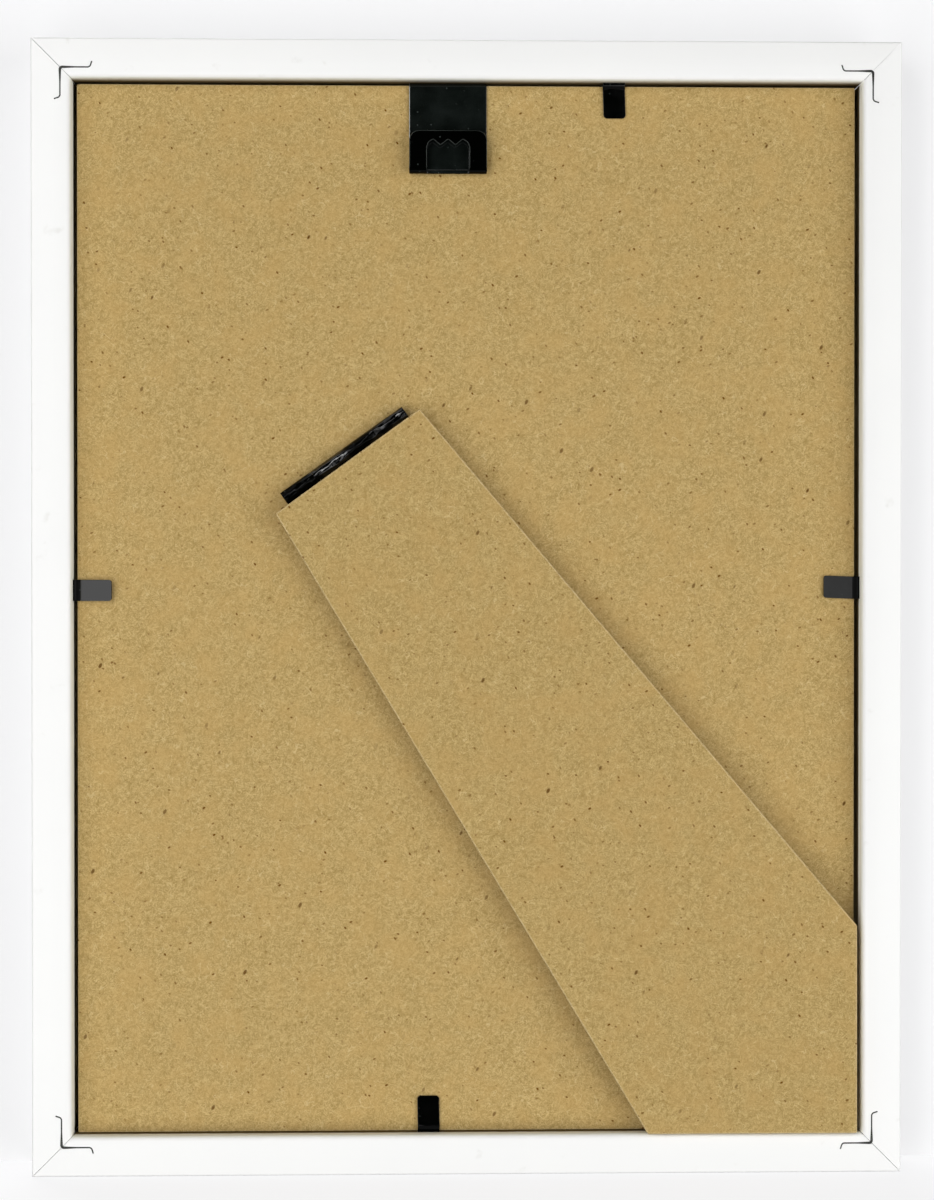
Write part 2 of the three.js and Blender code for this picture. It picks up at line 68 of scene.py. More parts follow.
bpy.ops.object.select_all(action="DESELECT")
sight_line = CAMERA_AIM - CAMERA_PLACE
bpy.ops.object.camera_add(location=CAMERA_PLACE, rotation=sight_line.to_track_quat("-Z", "Y").to_euler())
camera = bpy.context.object
camera.data.sensor_fit = "VERTICAL"
camera.data.sensor_height = SENSOR_HEIGHT
camera.data.lens = FOCAL_LENGTH / IMAGE_HEIGHT * SENSOR_HEIGHT
bpy.context.scene.camera = camera
bpy.context.scene.view_settings.view_transform = "Standard"
print("lens in mm:", round(camera.data.lens, 1), "distance in mm:", round(sight_line.length / MM))

# %% [markdown]
# ## Two helpers for shaders
# Every finish below is a small tree of shader nodes. One function turns the hex colours that painters and web
# pages use into the linear numbers that a shader works with, and one function adds a node, sets it and links it.

# %% Define the shader helpers
MIX_A, MIX_B, MIX_RESULT = 6, 7, 2  # colour sockets of a Mix node


def linear(hex_colour):
    """Turn an sRGB hex colour into linear red, green, blue and alpha."""
    channels = [int(hex_colour[start:start + 2], 16) / 255 for start in (1, 3, 5)]
    return tuple(c / 12.92 if c <= 0.04045 else ((c + 0.055) / 1.055) ** 2.4 for c in channels) + (1.0,)


def add_node(tree, kind, inputs=None, **settings):
    """Add a node, set its own settings, then link or set its inputs."""
    made = tree.nodes.new(kind)
    for setting, value in settings.items():
        setattr(made, setting, value)
    for socket, value in (inputs or {}).items():
        if isinstance(value, bpy.types.NodeSocket):
            tree.links.new(value, made.inputs[socket])
        else:
            made.inputs[socket].default_value = value
    return made


print("mid grey #808080 is", round(linear("#808080")[0], 3), "in linear light")

# %% [markdown]
# ## Studio
# The real frame lay face down on a pale table in soft light. Here it stands, so a pale backdrop close behind
# its face takes the table's part, and a pale floor carries it. Both glow a little for the camera alone, which
# keeps them pale without more light on the frame. They take the frame's shadow but throw none, because the real
# table lay behind the frame and not below it. The backdrop shows only from the side of the frame's back, so that
# the front can be looked at as well.

# %% Lay the floor and hang the backdrop
STAGE_COLOUR = "#fdfdfe"
FLOOR_GLOW = 0.85  # share of the colour that the camera sees without light
BACKDROP_GLOW = 0.5
FACE_PLANE, BACKDROP_GAP = -9.0, 0.3  # mm in y: the front of the moulding, and the air behind it
STAGE_SIZE = 5.0  # m


def pale_paper(name, glow, one_sided):
    """Matt paper that glows for the camera, and can be seen through from behind."""
    paper = bpy.data.materials.new(name)
    paper.use_nodes = True
    tree = paper.node_tree
    shader = tree.nodes["Principled BSDF"]
    shader.inputs["Base Color"].default_value = linear(STAGE_COLOUR)
    shader.inputs["Roughness"].default_value = 0.9
    shader.inputs["Specular IOR Level"].default_value = 0.1
    path = add_node(tree, "ShaderNodeLightPath")
    share = add_node(tree, "ShaderNodeMath", {0: path.outputs["Is Camera Ray"], 1: glow}, operation="MULTIPLY")
    shine = add_node(tree, "ShaderNodeEmission", {"Color": linear(STAGE_COLOUR), "Strength": 1.0})
    seen = add_node(tree, "ShaderNodeMixShader", {0: share.outputs[0], 1: shader.outputs[0], 2: shine.outputs[0]})
    if one_sided:
        facing = add_node(tree, "ShaderNodeNewGeometry")
        clear = add_node(tree, "ShaderNodeBsdfTransparent")
        seen = add_node(tree, "ShaderNodeMixShader",
                        {0: facing.outputs["Backfacing"], 1: seen.outputs[0], 2: clear.outputs[0]})
    tree.links.new(seen.outputs[0], tree.nodes["Material Output"].inputs["Surface"])
    return paper


bpy.ops.mesh.primitive_plane_add(size=STAGE_SIZE, location=(0, 0, 0))
floor = bpy.context.object
floor.name = "floor"
floor.data.materials.append(pale_paper("pale_floor_paper", FLOOR_GLOW, False))
bpy.ops.mesh.primitive_plane_add(
    size=STAGE_SIZE, location=(0, (FACE_PLANE - BACKDROP_GAP) * MM, STAGE_SIZE / 2), rotation=(-math.pi / 2, 0, 0))
backdrop = bpy.context.object
backdrop.name = "backdrop"
backdrop.data.materials.append(pale_paper("pale_backdrop_paper", BACKDROP_GLOW, True))
for paper in (floor, backdrop):
    for ray in ("diffuse", "glossy", "transmission", "shadow"):
        setattr(paper, "visible_" + ray, False)
print("stage:", floor.name, "and", backdrop.name)

# %% [markdown]
# ## Light
# A wide soft box on each side of the camera lights the back, and one in front lights the face. Beside the strut
# each of them reaches only one side, so the board is half as bright there, as it is in the photograph. A small
# box above adds little brightness, but it draws the bright streak along the hinge's barrel. Three boxes level with
# the face keep the outer sides white, and stay too far forward to reach the back.

# %% Hang the lamps
FRAME_MIDDLE = 0.13  # m above the floor
SKY_FILL = 0.03  # light from all round
SKY_SEEN = 0.94  # the same sky as the camera, gloss and glass see it
LAMPS = {
    # name: (place in m, aim in m, width, height, watts)
    "soft_box_left": ((0.42, 0.62, -0.02), (0.0, 0.0, 0.05), 0.74, 0.95, 4.4),
    "soft_box_right": ((-0.60, 0.58, -0.02), (0.0, 0.0, 0.05), 0.80, 0.95, 5.8),
    "small_box_above": ((0.27, 0.72, 0.50), (0.03, 0.0, 0.166), 0.14, 0.36, 1.2),
    "soft_box_front": ((0.25, -0.9, 0.75), (0.0, 0.0, FRAME_MIDDLE), 0.9, 0.9, 12.0),
    "side_box_left": ((1.2, -0.40, 0.25), (0.0, 0.0, FRAME_MIDDLE), 0.4, 0.6, 1.4),
    "side_box_right": ((-1.2, -0.40, 0.25), (0.0, 0.0, FRAME_MIDDLE), 0.4, 0.6, 1.4),
    "top_box": ((0.0, -0.40, 1.4), (0.0, 0.0, FRAME_MIDDLE), 0.6, 0.4, 1.8),
}

world = bpy.data.worlds.new("studio")
world.use_nodes = True
bpy.context.scene.world = world
sky = world.node_tree
path = add_node(sky, "ShaderNodeLightPath")
seen = path.outputs["Is Camera Ray"]
for ray in ("Is Glossy Ray", "Is Transmission Ray"):
    seen = add_node(sky, "ShaderNodeMath", {0: seen, 1: path.outputs[ray]}, operation="MAXIMUM").outputs[0]
strength = add_node(sky, "ShaderNodeMapRange", {"Value": seen, "To Min": SKY_FILL, "To Max": SKY_SEEN})
sky.links.new(strength.outputs[0], sky.nodes["Background"].inputs["Strength"])
sky.nodes["Background"].inputs["Color"].default_value = linear("#ffffff")

for name, (lamp_place, lamp_aim, width, height, watts) in LAMPS.items():
    beam = Vector(lamp_aim) - Vector(lamp_place)
    bpy.ops.object.light_add(type="AREA", location=lamp_place, rotation=beam.to_track_quat("-Z", "Y").to_euler())
    lamp = bpy.context.object
    lamp.name = name
    lamp.data.shape = "RECTANGLE"
    lamp.data.size = width
    lamp.data.size_y = height
    lamp.data.energy = watts
    lamp.visible_camera = False
print("lamps:", ", ".join(LAMPS))

# %% [markdown]
# ## Dark curtains
# Black enamel has hardly a colour of its own: it shows what stands before it. In the photograph that is a dark
# room behind the camera, with a slit of pale wall on the right. Two dark curtains behind the lamps give the same
# reflections. They are seen by glossy rays alone, and take no light away.

# %% Hang the dark curtains
CURTAINS = {"curtain_left": (-0.22, 2.6), "curtain_right": (-2.6, -0.40)}  # m, from and to along x
CURTAIN_PLACE, CURTAIN_HEIGHT = 1.3, 5.0  # m behind the frame, m
black_felt = bpy.data.materials.new("black_felt")
black_felt.use_nodes = True
black_felt.node_tree.nodes["Principled BSDF"].inputs["Base Color"].default_value = linear("#050505")
black_felt.node_tree.nodes["Principled BSDF"].inputs["Specular IOR Level"].default_value = 0.0
for name, (start, end) in CURTAINS.items():
    middle = ((start + end) / 2, CURTAIN_PLACE, FRAME_MIDDLE)
    bpy.ops.mesh.primitive_plane_add(size=1, location=middle, rotation=(math.pi / 2, 0, 0))
    curtain = bpy.context.object
    curtain.name = name
    curtain.scale = (end - start, CURTAIN_HEIGHT, 1)
    curtain.data.materials.append(black_felt)
    for ray in ("camera", "diffuse", "transmission", "shadow"):
        setattr(curtain, "visible_" + ray, False)
print("curtains for reflections:", ", ".join(CURTAINS))

# %% [markdown]
# ## White lacquer
# The moulding is a fibrous wood profile under white lacquer. Lacquer is nearly white, satin and slightly uneven:
# the eye sees a soft sheen that breaks up a little, faint marks from handling, and no grain.

# %% Mix the white lacquer
def start_finish(name, values):
    """Start a material; values that are the same all over go straight to the shader's sockets."""
    finish = bpy.data.materials.new(name)
    finish.use_nodes = True
    tree = finish.node_tree
    shader = tree.nodes["Principled BSDF"]
    for socket, value in values.items():
        shader.inputs[socket].default_value = value
    return finish, tree, shader


def sized(tree, size, turn=0.0):
    """Object coordinates divided by a size in mm along x, y and z, after a turn about y in degrees."""
    place = add_node(tree, "ShaderNodeTexCoord").outputs["Object"]
    return add_node(tree, "ShaderNodeMapping", {
        "Vector": place, "Rotation": (0, math.radians(turn), 0), "Scale": tuple(length * MM for length in size),
    }, vector_type="TEXTURE").outputs[0]


white_lacquer, tree, shader = start_finish("white_lacquer_on_wood", {"Roughness": 0.42, "IOR": 1.48})
cloud = add_node(tree, "ShaderNodeTexNoise", {"Vector": sized(tree, (22, 22, 22)), "Scale": 1.0, "Detail": 2.0})
tone = add_node(tree, "ShaderNodeMix", {
    0: cloud.outputs["Fac"], MIX_A: linear("#f3f3f2"), MIX_B: linear("#f7f7f5")}, data_type="RGBA")
rub = add_node(tree, "ShaderNodeTexNoise", {"Vector": sized(tree, (5, 5, 5)), "Scale": 1.0, "Detail": 3.0})
mark = add_node(tree, "ShaderNodeMapRange", {
    "Value": rub.outputs["Fac"], "From Min": 0.66, "From Max": 0.80, "To Max": 0.30}, interpolation_type="SMOOTHSTEP")
marked = add_node(tree, "ShaderNodeMix", {
    0: mark.outputs[0], MIX_A: tone.outputs[MIX_RESULT], MIX_B: linear("#d4d2cb")}, data_type="RGBA")
tree.links.new(marked.outputs[MIX_RESULT], shader.inputs["Base Color"])
peel = add_node(tree, "ShaderNodeTexNoise", {"Vector": sized(tree, (1.6, 1.6, 1.6)), "Scale": 1.0, "Detail": 2.0})
relief = add_node(tree, "ShaderNodeBump", {"Height": peel.outputs["Fac"], "Strength": 0.35, "Distance": 0.03 * MM})
tree.links.new(relief.outputs[0], shader.inputs["Normal"])
print("finish:", white_lacquer.name)

# %% [markdown]
# ## The bare rabbet and its painted shade
# Further down the rabbet's wall, the white fades into the brown core of the moulding. This is partly the bare core,
# where the lacquer thins out, and partly painted shade. The colour itself darkens the narrow gap round the board, and
# each side fades at its own depth, with the top rail's wall darkest, for the shade that falls differently on each
# wall.
# The depth in the rabbet is the y of the object, so a ramp along y lets the white fade into the core.

# %% Mix the rabbet's finish
RAGGED = 0.8  # mm by which the edge of the white comes and goes


def mix_rabbet_with_painted_shade(name, white_from, bare_and_shade_from):
    """White lacquer that fades between two depths in mm into a dark core colour, partly bare core and partly painted
    shade.
    """
    rabbet, tree, shader = start_finish(name, {"Roughness": 0.7, "Specular IOR Level": 0.2})
    place = add_node(tree, "ShaderNodeSeparateXYZ", {0: sized(tree, (1, 1, 1))})
    fade_edge_noise = add_node(tree, "ShaderNodeTexNoise", {
        "Vector": sized(tree, (2.5, 0.9, 2.5)), "Scale": 1.0, "Detail": 3.0})
    ragged = add_node(tree, "ShaderNodeMath", {
        0: fade_edge_noise.outputs["Fac"], 1: RAGGED, 2: -RAGGED / 2}, operation="MULTIPLY_ADD")
    depth = add_node(tree, "ShaderNodeMath", {0: place.outputs["Y"], 1: ragged.outputs[0]})
    white_share = add_node(tree, "ShaderNodeMapRange", {
        "Value": depth.outputs[0], "From Min": bare_and_shade_from, "From Max": white_from}, interpolation_type="SMOOTHSTEP")
    # the dark end is partly the moulding's bare brown core and partly painted shade deep in the rabbet
    colour = add_node(tree, "ShaderNodeMix", {
        0: white_share.outputs[0], MIX_A: linear("#5c4c2b"), MIX_B: linear("#f2f3ec")}, data_type="RGBA")
    tree.links.new(colour.outputs[MIX_RESULT], shader.inputs["Base Color"])
    return rabbet


WHITE_AND_SHADE_ENDS = {  # mm in y: white above the first, dark below the second; each side is set to how the shade falls on its wall
    "bottom": (6.2, 5.0), "right": (3.6, 2.6), "top": (9.0, 4.0), "left": (4.6, 3.6)}
SHADED_RABBETS = {side: mix_rabbet_with_painted_shade("lacquer_thinning_on_" + side + "_rail", *ends) for side, ends in WHITE_AND_SHADE_ENDS.items()}
print("finishes:", [rabbet.name for rabbet in SHADED_RABBETS.values()])

# %% [markdown]
# ## Pressed fibreboard
# The back and the strut are cut from thin fibreboard. It is wood ground to fibres and pressed flat, so the eye
# sees a honey-coloured felt of short curled fibres in every direction, some paler and some darker, with flecks of
# bark and faint cloudy patches. Layers of stretched noise, each turned another way, give the fibres: where the
# strongest layer wins, single fibres stand out. The longest ones are hairs, thin lines that follow a level line of a
# soft noise and break off where a second noise is low.

# %% Mix the fibreboard
PALE_FIBRES = ((18, 0.27, 1.1), (62, 0.31, 1.4), (107, 0.26, 1.2), (151, 0.34, 1.6))  # turn, width and length in mm
DARK_FIBRES = ((0, 0.30, 1.3), (41, 0.26, 1.0), (88, 0.32, 1.5), (132, 0.28, 1.2))
HAIRS = ((2.6, 0.44, "#d6bf8c"), (3.1, 0.55, "#dcc693"), (2.9, 0.50, "#94783d"))  # mm between curls, level, tone
HAIR_WIDTH, HAIR_STRENGTH = 0.008, 0.34  # share of the noise's range, share of the tone
HAIR_LENGTH = 1.6  # mm
BARK = (  # turn, cell in mm, share of the cell that a fleck takes, tone
    (34, (2.0, 2.4, 3.2), 0.15, "#6a4200"), (118, (2.2, 2.4, 3.6), 0.14, "#6a4200"),
    (71, (1.8, 2.2, 2.6), 0.15, "#6a4200"), (152, (4.2, 4.6, 7.6), 0.11, "#5c3800"))
FIBRE_RANGE = 0.18  # how far pale and dark fibres differ at most


def felt(tree, fibres):
    """The strongest of several layers of stretched and curled noise."""
    strongest = None
    for turn, width, length in fibres:
        layer = add_node(tree, "ShaderNodeTexNoise", {
            "Vector": sized(tree, (width, width, length), turn), "Scale": 1.0, "Detail": 1.0, "Distortion": 0.4})
        value = layer.outputs["Fac"]
        if strongest is not None:
            value = add_node(tree, "ShaderNodeMath", {0: strongest, 1: value}, operation="MAXIMUM").outputs[0]
        strongest = value
    return strongest


def flecks(tree, turn, size, reach):
    """Small spots in the cells of a stretched cell pattern, strong in a few and faint in most."""
    cells = add_node(tree, "ShaderNodeTexVoronoi", {"Vector": sized(tree, size, turn), "Scale": 1.0})
    spot = add_node(tree, "ShaderNodeMapRange", {
        "Value": cells.outputs["Distance"], "From Min": reach, "From Max": reach / 2},
        interpolation_type="SMOOTHSTEP")
    chance = add_node(tree, "ShaderNodeSeparateColor", {0: cells.outputs["Color"]})
    rare = add_node(tree, "ShaderNodeMath", {0: chance.outputs[0], 1: 2.0}, operation="POWER")
    return add_node(tree, "ShaderNodeMath", {
        0: spot.outputs[0], 1: rare.outputs[0]}, operation="MULTIPLY").outputs[0]


def hairs(tree, size, level):
    """Thin curled lines along one level line of a noise, broken into short lengths."""
    hills = add_node(tree, "ShaderNodeTexNoise", {"Vector": sized(tree, (size,) * 3), "Scale": 1.0, "Detail": 1.0})
    line = add_node(tree, "ShaderNodeMath", {
        0: hills.outputs["Fac"], 1: level, 2: HAIR_WIDTH}, operation="COMPARE")
    breaks = add_node(tree, "ShaderNodeTexNoise", {
        "Vector": sized(tree, (HAIR_LENGTH,) * 3), "Scale": 1.0, "Detail": 0.0})
    length = add_node(tree, "ShaderNodeMapRange", {
        "Value": breaks.outputs["Fac"], "From Min": 0.50, "From Max": 0.62, "To Max": HAIR_STRENGTH})
    return add_node(tree, "ShaderNodeMath", {
        0: line.outputs[0], 1: length.outputs[0]}, operation="MULTIPLY").outputs[0]


def mix_fibreboard(name, dark, light, warm):
    """Fibreboard in three tones: between its fibres, on them, and in its warmer patches."""
    board, tree, shader = start_finish(name, {"Roughness": 0.82, "Specular IOR Level": 0.2})
    fibres = add_node(tree, "ShaderNodeMath", {
        0: felt(tree, PALE_FIBRES), 1: felt(tree, DARK_FIBRES)}, operation="SUBTRACT").outputs[0]
    lift = add_node(tree, "ShaderNodeMapRange", {
        "Value": fibres, "From Min": -FIBRE_RANGE, "From Max": FIBRE_RANGE})
    base = add_node(tree, "ShaderNodeMix", {
        0: lift.outputs[0], MIX_A: linear(dark), MIX_B: linear(light)}, data_type="RGBA")
    patch = add_node(tree, "ShaderNodeTexNoise", {"Vector": sized(tree, (6, 6, 6)), "Scale": 1.0, "Detail": 3.0})
    amount = add_node(tree, "ShaderNodeMapRange", {
        "Value": patch.outputs["Fac"], "From Min": 0.42, "From Max": 0.68, "To Max": 0.45})
    colour = add_node(tree, "ShaderNodeMix", {
        0: amount.outputs[0], MIX_A: base.outputs[MIX_RESULT], MIX_B: linear(warm)}, data_type="RGBA")
    marks = [(hairs(tree, size, level), tone) for size, level, tone in HAIRS]
    marks += [(flecks(tree, turn, size, reach), tone) for turn, size, reach, tone in BARK]
    for share, tone in marks:
        colour = add_node(tree, "ShaderNodeMix", {
            0: share, MIX_A: colour.outputs[MIX_RESULT], MIX_B: linear(tone)}, data_type="RGBA")
    tree.links.new(colour.outputs[MIX_RESULT], shader.inputs["Base Color"])
    relief = add_node(tree, "ShaderNodeBump", {"Height": fibres, "Strength": 0.5, "Distance": 0.04 * MM})
    tree.links.new(relief.outputs[0], shader.inputs["Normal"])
    return board


fibreboard = mix_fibreboard("pressed_fibreboard", "#9f854d", "#c5aa72", "#bc9b5f")
strut_board = mix_fibreboard("pressed_fibreboard_of_the_strut", "#9c824b", "#c1a76f", "#b7965b")
sawn_edge = mix_fibreboard("sawn_fibreboard_edge", "#ae9764", "#d3bc8c", "#c3a56e")
print("finishes:", fibreboard.name, strut_board.name, sawn_edge.name)

# %% [markdown]
# ## Black enamel
# The tabs, the hanger and the hinge are thin sheet steel, stamped and then coated black. The coat is a fraction
# of a millimetre of enamel with a high gloss. The eye sees almost no colour, only reflections that waver where
# the coat is uneven, and a little dust. On the rolled knuckles of the hinge the steel itself is uneven, so there
# the reflections break up into short wavy streaks. Where the sheet was folded the coat is dull and simply black.
# The top arris of the hanger's lip is painted grey: a painted highlight for the light that this edge catches.

# %% Mix the black enamel
HINGE_SLOPE = 35.6  # degrees by which the hinge's pin slopes


def mix_enamel(name, shine, veil, swell=(3.2, 3.2, 3.2), turn=0, ripple=0.008):
    """Black enamel under a veil, which is dust on most pieces and a painted highlight on the lip's arris, on steel
    that swells in a size and a turn about y, by a ripple in mm.
    """
    enamel, tree, shader = start_finish(name, {"IOR": 1.5, "Specular IOR Level": shine})
    haze = add_node(tree, "ShaderNodeTexNoise", {"Vector": sized(tree, (4, 4, 4)), "Scale": 1.0, "Detail": 3.0})
    coat = add_node(tree, "ShaderNodeMix", {
        0: haze.outputs["Fac"], MIX_A: linear("#010201"), MIX_B: linear(veil)}, data_type="RGBA")
    dusty = add_node(tree, "ShaderNodeMix", {
        0: flecks(tree, 0, (1.7, 1.7, 1.7), 0.14), MIX_A: coat.outputs[MIX_RESULT], MIX_B: linear("#3b413e")},
        data_type="RGBA")
    tree.links.new(dusty.outputs[MIX_RESULT], shader.inputs["Base Color"])
    gloss = add_node(tree, "ShaderNodeMapRange", {
        "Value": haze.outputs["Fac"], "From Min": 0.3, "From Max": 0.7, "To Min": 0.05, "To Max": 0.12})
    tree.links.new(gloss.outputs[0], shader.inputs["Roughness"])
    uneven = add_node(tree, "ShaderNodeTexNoise", {"Vector": sized(tree, swell, turn), "Scale": 1.0, "Detail": 2.0})
    relief = add_node(tree, "ShaderNodeBump", {"Height": uneven.outputs["Fac"], "Distance": ripple * MM})
    tree.links.new(relief.outputs[0], shader.inputs["Normal"])
    return enamel


black_enamel = mix_enamel("black_enamel_on_steel", 0.5, "#030303")
dusty_enamel = mix_enamel("dusty_black_enamel_on_steel", 0.5, "#1a1f1d")
rolled_enamel = mix_enamel("black_enamel_on_rolled_steel", 0.45, "#030303", (6.5, 2.4, 2.4), HINGE_SLOPE, 0.9)
# a grey veil that paints the highlight along the arris of the hanger's lip
lip_edge_highlight_enamel = mix_enamel("black_enamel_with_painted_edge_highlight", 0.1, "#414642")
dull_enamel = mix_enamel("dull_black_enamel_on_steel", 0.06, "#020202")
tree = rolled_enamel.node_tree
rub = add_node(tree, "ShaderNodeTexNoise", {
    "Vector": sized(tree, (7, 5, 5), HINGE_SLOPE), "W": 3.4, "Scale": 1.0, "Detail": 2.0}, noise_dimensions="4D")
polish = add_node(tree, "ShaderNodeMapRange", {
    "Value": rub.outputs["Fac"], "From Min": 0.48, "From Max": 0.60, "To Min": 0.06, "To Max": 0.6},
    interpolation_type="SMOOTHSTEP")  # the shine comes and goes along the barrel
tree.links.new(polish.outputs[0], tree.nodes["Principled BSDF"].inputs["Specular IOR Level"])
print("finishes:", black_enamel.name, dusty_enamel.name, lip_edge_highlight_enamel.name, rolled_enamel.name, dull_enamel.name)

# %% [markdown]
# ## Steel, glass and paper
# The corner nails and the hinge pin are bare spring steel, dull and stained. One long edge of the hanger, where the
# shears cut the strip, is bare steel in a pale tone: a painted highlight for the light that this edge alone catches.
# The pane is float glass, with the faint smears that any pane has. The sheet is uncoated paper, off-white with a fine
# tooth.

# %% Mix steel, glass and paper
def mix_steel(name, dark, light):
    """Bare steel with stains between two tones, rougher where it is paler."""
    steel, tree, shader = start_finish(name, {"Metallic": 1.0})
    stain = add_node(tree, "ShaderNodeTexNoise", {
        "Vector": sized(tree, (0.9, 2.5, 0.9)), "Scale": 1.0, "Detail": 3.0})
    metal = add_node(tree, "ShaderNodeMix", {
        0: stain.outputs["Fac"], MIX_A: linear(dark), MIX_B: linear(light)}, data_type="RGBA")
    tree.links.new(metal.outputs[MIX_RESULT], shader.inputs["Base Color"])
    worn = add_node(tree, "ShaderNodeMapRange", {"Value": stain.outputs["Fac"], "To Min": 0.35, "To Max": 0.6})
    tree.links.new(worn.outputs[0], shader.inputs["Roughness"])
    return steel


spring_steel = mix_steel("bare_spring_steel", "#222321", "#525350")
# pale steel for one edge of the hanger, a painted highlight
sheared_edge_highlight_steel = mix_steel("bare_steel_with_painted_edge_highlight", "#7d7e7b", "#a9aaa7")

float_glass, tree, shader = start_finish("float_glass", {
    "Base Color": linear("#fafdfb"), "IOR": 1.52, "Transmission Weight": 1.0})
smear = add_node(tree, "ShaderNodeTexNoise", {"Vector": sized(tree, (9, 9, 26), 24), "Scale": 1.0, "Detail": 4.0})
wipe = add_node(tree, "ShaderNodeMapRange", {
    "Value": smear.outputs["Fac"], "From Min": 0.5, "From Max": 0.8, "To Max": 0.06})
tree.links.new(wipe.outputs[0], shader.inputs["Roughness"])

paper, tree, shader = start_finish("uncoated_paper", {"Roughness": 0.9, "Specular IOR Level": 0.2})
tooth = add_node(tree, "ShaderNodeTexNoise", {"Vector": sized(tree, (0.5, 0.5, 0.5)), "Scale": 1.0, "Detail": 3.0})
pulp = add_node(tree, "ShaderNodeMix", {
    0: tooth.outputs["Fac"], MIX_A: linear("#ebe8df"), MIX_B: linear("#f6f4ed")}, data_type="RGBA")
tree.links.new(pulp.outputs[MIX_RESULT], shader.inputs["Base Color"])
relief = add_node(tree, "ShaderNodeBump", {"Height": tooth.outputs["Fac"], "Strength": 0.3, "Distance": 0.02 * MM})
tree.links.new(relief.outputs[0], shader.inputs["Normal"])
print("finishes:", spring_steel.name, sheared_edge_highlight_steel.name, float_glass.name, paper.name)

# %% [markdown]
# ## A workbench in millimetres
# The frame's details are tenths of a millimetre, and Blender's tools work best on things that are some units
# long. So each piece is modelled with one unit for a millimetre and is brought down to metres at the end. These
# helpers do what a hand does at the bench: start from a primitive, select by place, slice, bend, finish.

# %% Define the bench helpers
TOUCH = 0.01  # mm, how near a point has to be to count as on a plane
SLICE_TOLERANCE, SAME_POINT = 0.0001, 0.0005  # mm, for slices and for points that lie on each other
SMOOTH_BELOW = 40  # degrees, the angle up to which an edge is shaded round
SHARP_ABOVE = math.radians(50)  # the angle from which an edge of sheet steel is broken


def leave_edit_mode():
    """Close the piece that is open in edit mode, if there is one."""
    if bpy.context.mode != "OBJECT":
        bpy.ops.object.mode_set(mode="OBJECT")


def start_from(name, add_primitive, scale=(1, 1, 1), **settings):
    """Add a primitive, give it its size and name, and open it in edit mode."""
    leave_edit_mode()
    bpy.ops.object.select_all(action="DESELECT")
    add_primitive(**settings)
    piece = bpy.context.object
    piece.name = name
    piece.scale = scale
    bpy.ops.object.transform_apply()
    bpy.ops.object.mode_set(mode="EDIT")
    return piece


def pick(kind, test):
    """Select the vertices, edges or faces whose corner points all pass the test, and nothing else."""
    bpy.ops.mesh.select_mode(type=kind)
    bpy.ops.mesh.select_all(action="DESELECT")
    shape = bmesh.from_edit_mesh(bpy.context.object.data)
    for item in {"VERT": shape.verts, "EDGE": shape.edges, "FACE": shape.faces}[kind]:
        points = [item.co] if kind == "VERT" else [corner.co for corner in item.verts]
        item.select_set(all(test(point) for point in points))
    shape.select_flush_mode()
    bmesh.update_edit_mesh(bpy.context.object.data)


def slice_at(point, normal, **settings):
    """Cut the whole shape along a plane."""
    bpy.ops.mesh.select_all(action="SELECT")
    bpy.ops.mesh.bisect(plane_co=point, plane_no=normal, threshold=SLICE_TOLERANCE, **settings)


def run_on(step):
    """Draw what is selected straight on."""
    bpy.ops.mesh.extrude_region_move(TRANSFORM_OT_translate={"value": step})


def bend_on(centre, axis, degrees, steps):
    """Draw what is selected round a centre. Spin turns clockwise about its axis, so the angle changes sign."""
    bpy.ops.mesh.spin(steps=steps, angle=-math.radians(degrees), center=centre, axis=axis)


def modify(piece, kind, **settings):
    """Put one modifier on a piece and apply it."""
    leave_edit_mode()
    bpy.context.view_layer.objects.active = piece
    modifier = piece.modifiers.new(kind.lower(), kind)
    for setting, value in settings.items():
        setattr(modifier, setting, value)
    bpy.ops.object.modifier_apply(modifier=modifier.name)


def face_outwards(piece):
    """Merge points that lie on each other, then point all faces outwards."""
    leave_edit_mode()
    bpy.context.view_layer.objects.active = piece
    bpy.ops.object.mode_set(mode="EDIT")
    bpy.ops.mesh.select_all(action="SELECT")
    bpy.ops.mesh.remove_doubles(threshold=SAME_POINT)
    bpy.ops.mesh.normals_make_consistent(inside=False)
    bpy.ops.object.mode_set(mode="OBJECT")


def cut_out(piece, cutter):
    """Take the cutter's shape out of the piece and throw the cutter away."""
    face_outwards(cutter)
    face_outwards(piece)
    modify(piece, "BOOLEAN", operation="DIFFERENCE", solver="EXACT", object=cutter)
    bpy.data.objects.remove(cutter, do_unlink=True)


def put(piece, at, turn):
    """Turn a piece about y and set it down at a place, both in its mesh."""
    leave_edit_mode()
    bpy.ops.object.select_all(action="DESELECT")
    piece.select_set(True)
    bpy.context.view_layer.objects.active = piece
    piece.rotation_euler = (0, turn, 0)
    piece.location = at
    bpy.ops.object.transform_apply()


def finish_piece(piece, *finishes):
    """Close the mesh, point its faces outwards, bring it down to metres, shade it and give it its finishes."""
    put(piece, (0, 0, 0), 0)
    face_outwards(piece)
    piece.scale = (MM, MM, MM)
    bpy.ops.object.transform_apply()
    bpy.ops.object.shade_smooth_by_angle(angle=math.radians(SMOOTH_BELOW))
    modify(piece, "WEIGHTED_NORMAL", keep_sharp=True)  # keeps flat sheet flat beside its rounded edges
    for finish in finishes:
        piece.data.materials.append(finish)
    size = [round(side / MM, 2) for side in piece.dimensions]
    print(piece.name, "faces:", len(piece.data.polygons), "size in mm:", size)


print("bench ready")

# %% [markdown]
# ## Corner nails
# Each mitre is held by a steel strip that is bent to a right angle, curled outwards at both ends and driven into
# the back. It could be a curve with a thickness, but a strip that is drawn out from one leg and bent about real
# centres is how the strip is made. The same shape, a little thicker, cuts the kerf that it sits in.

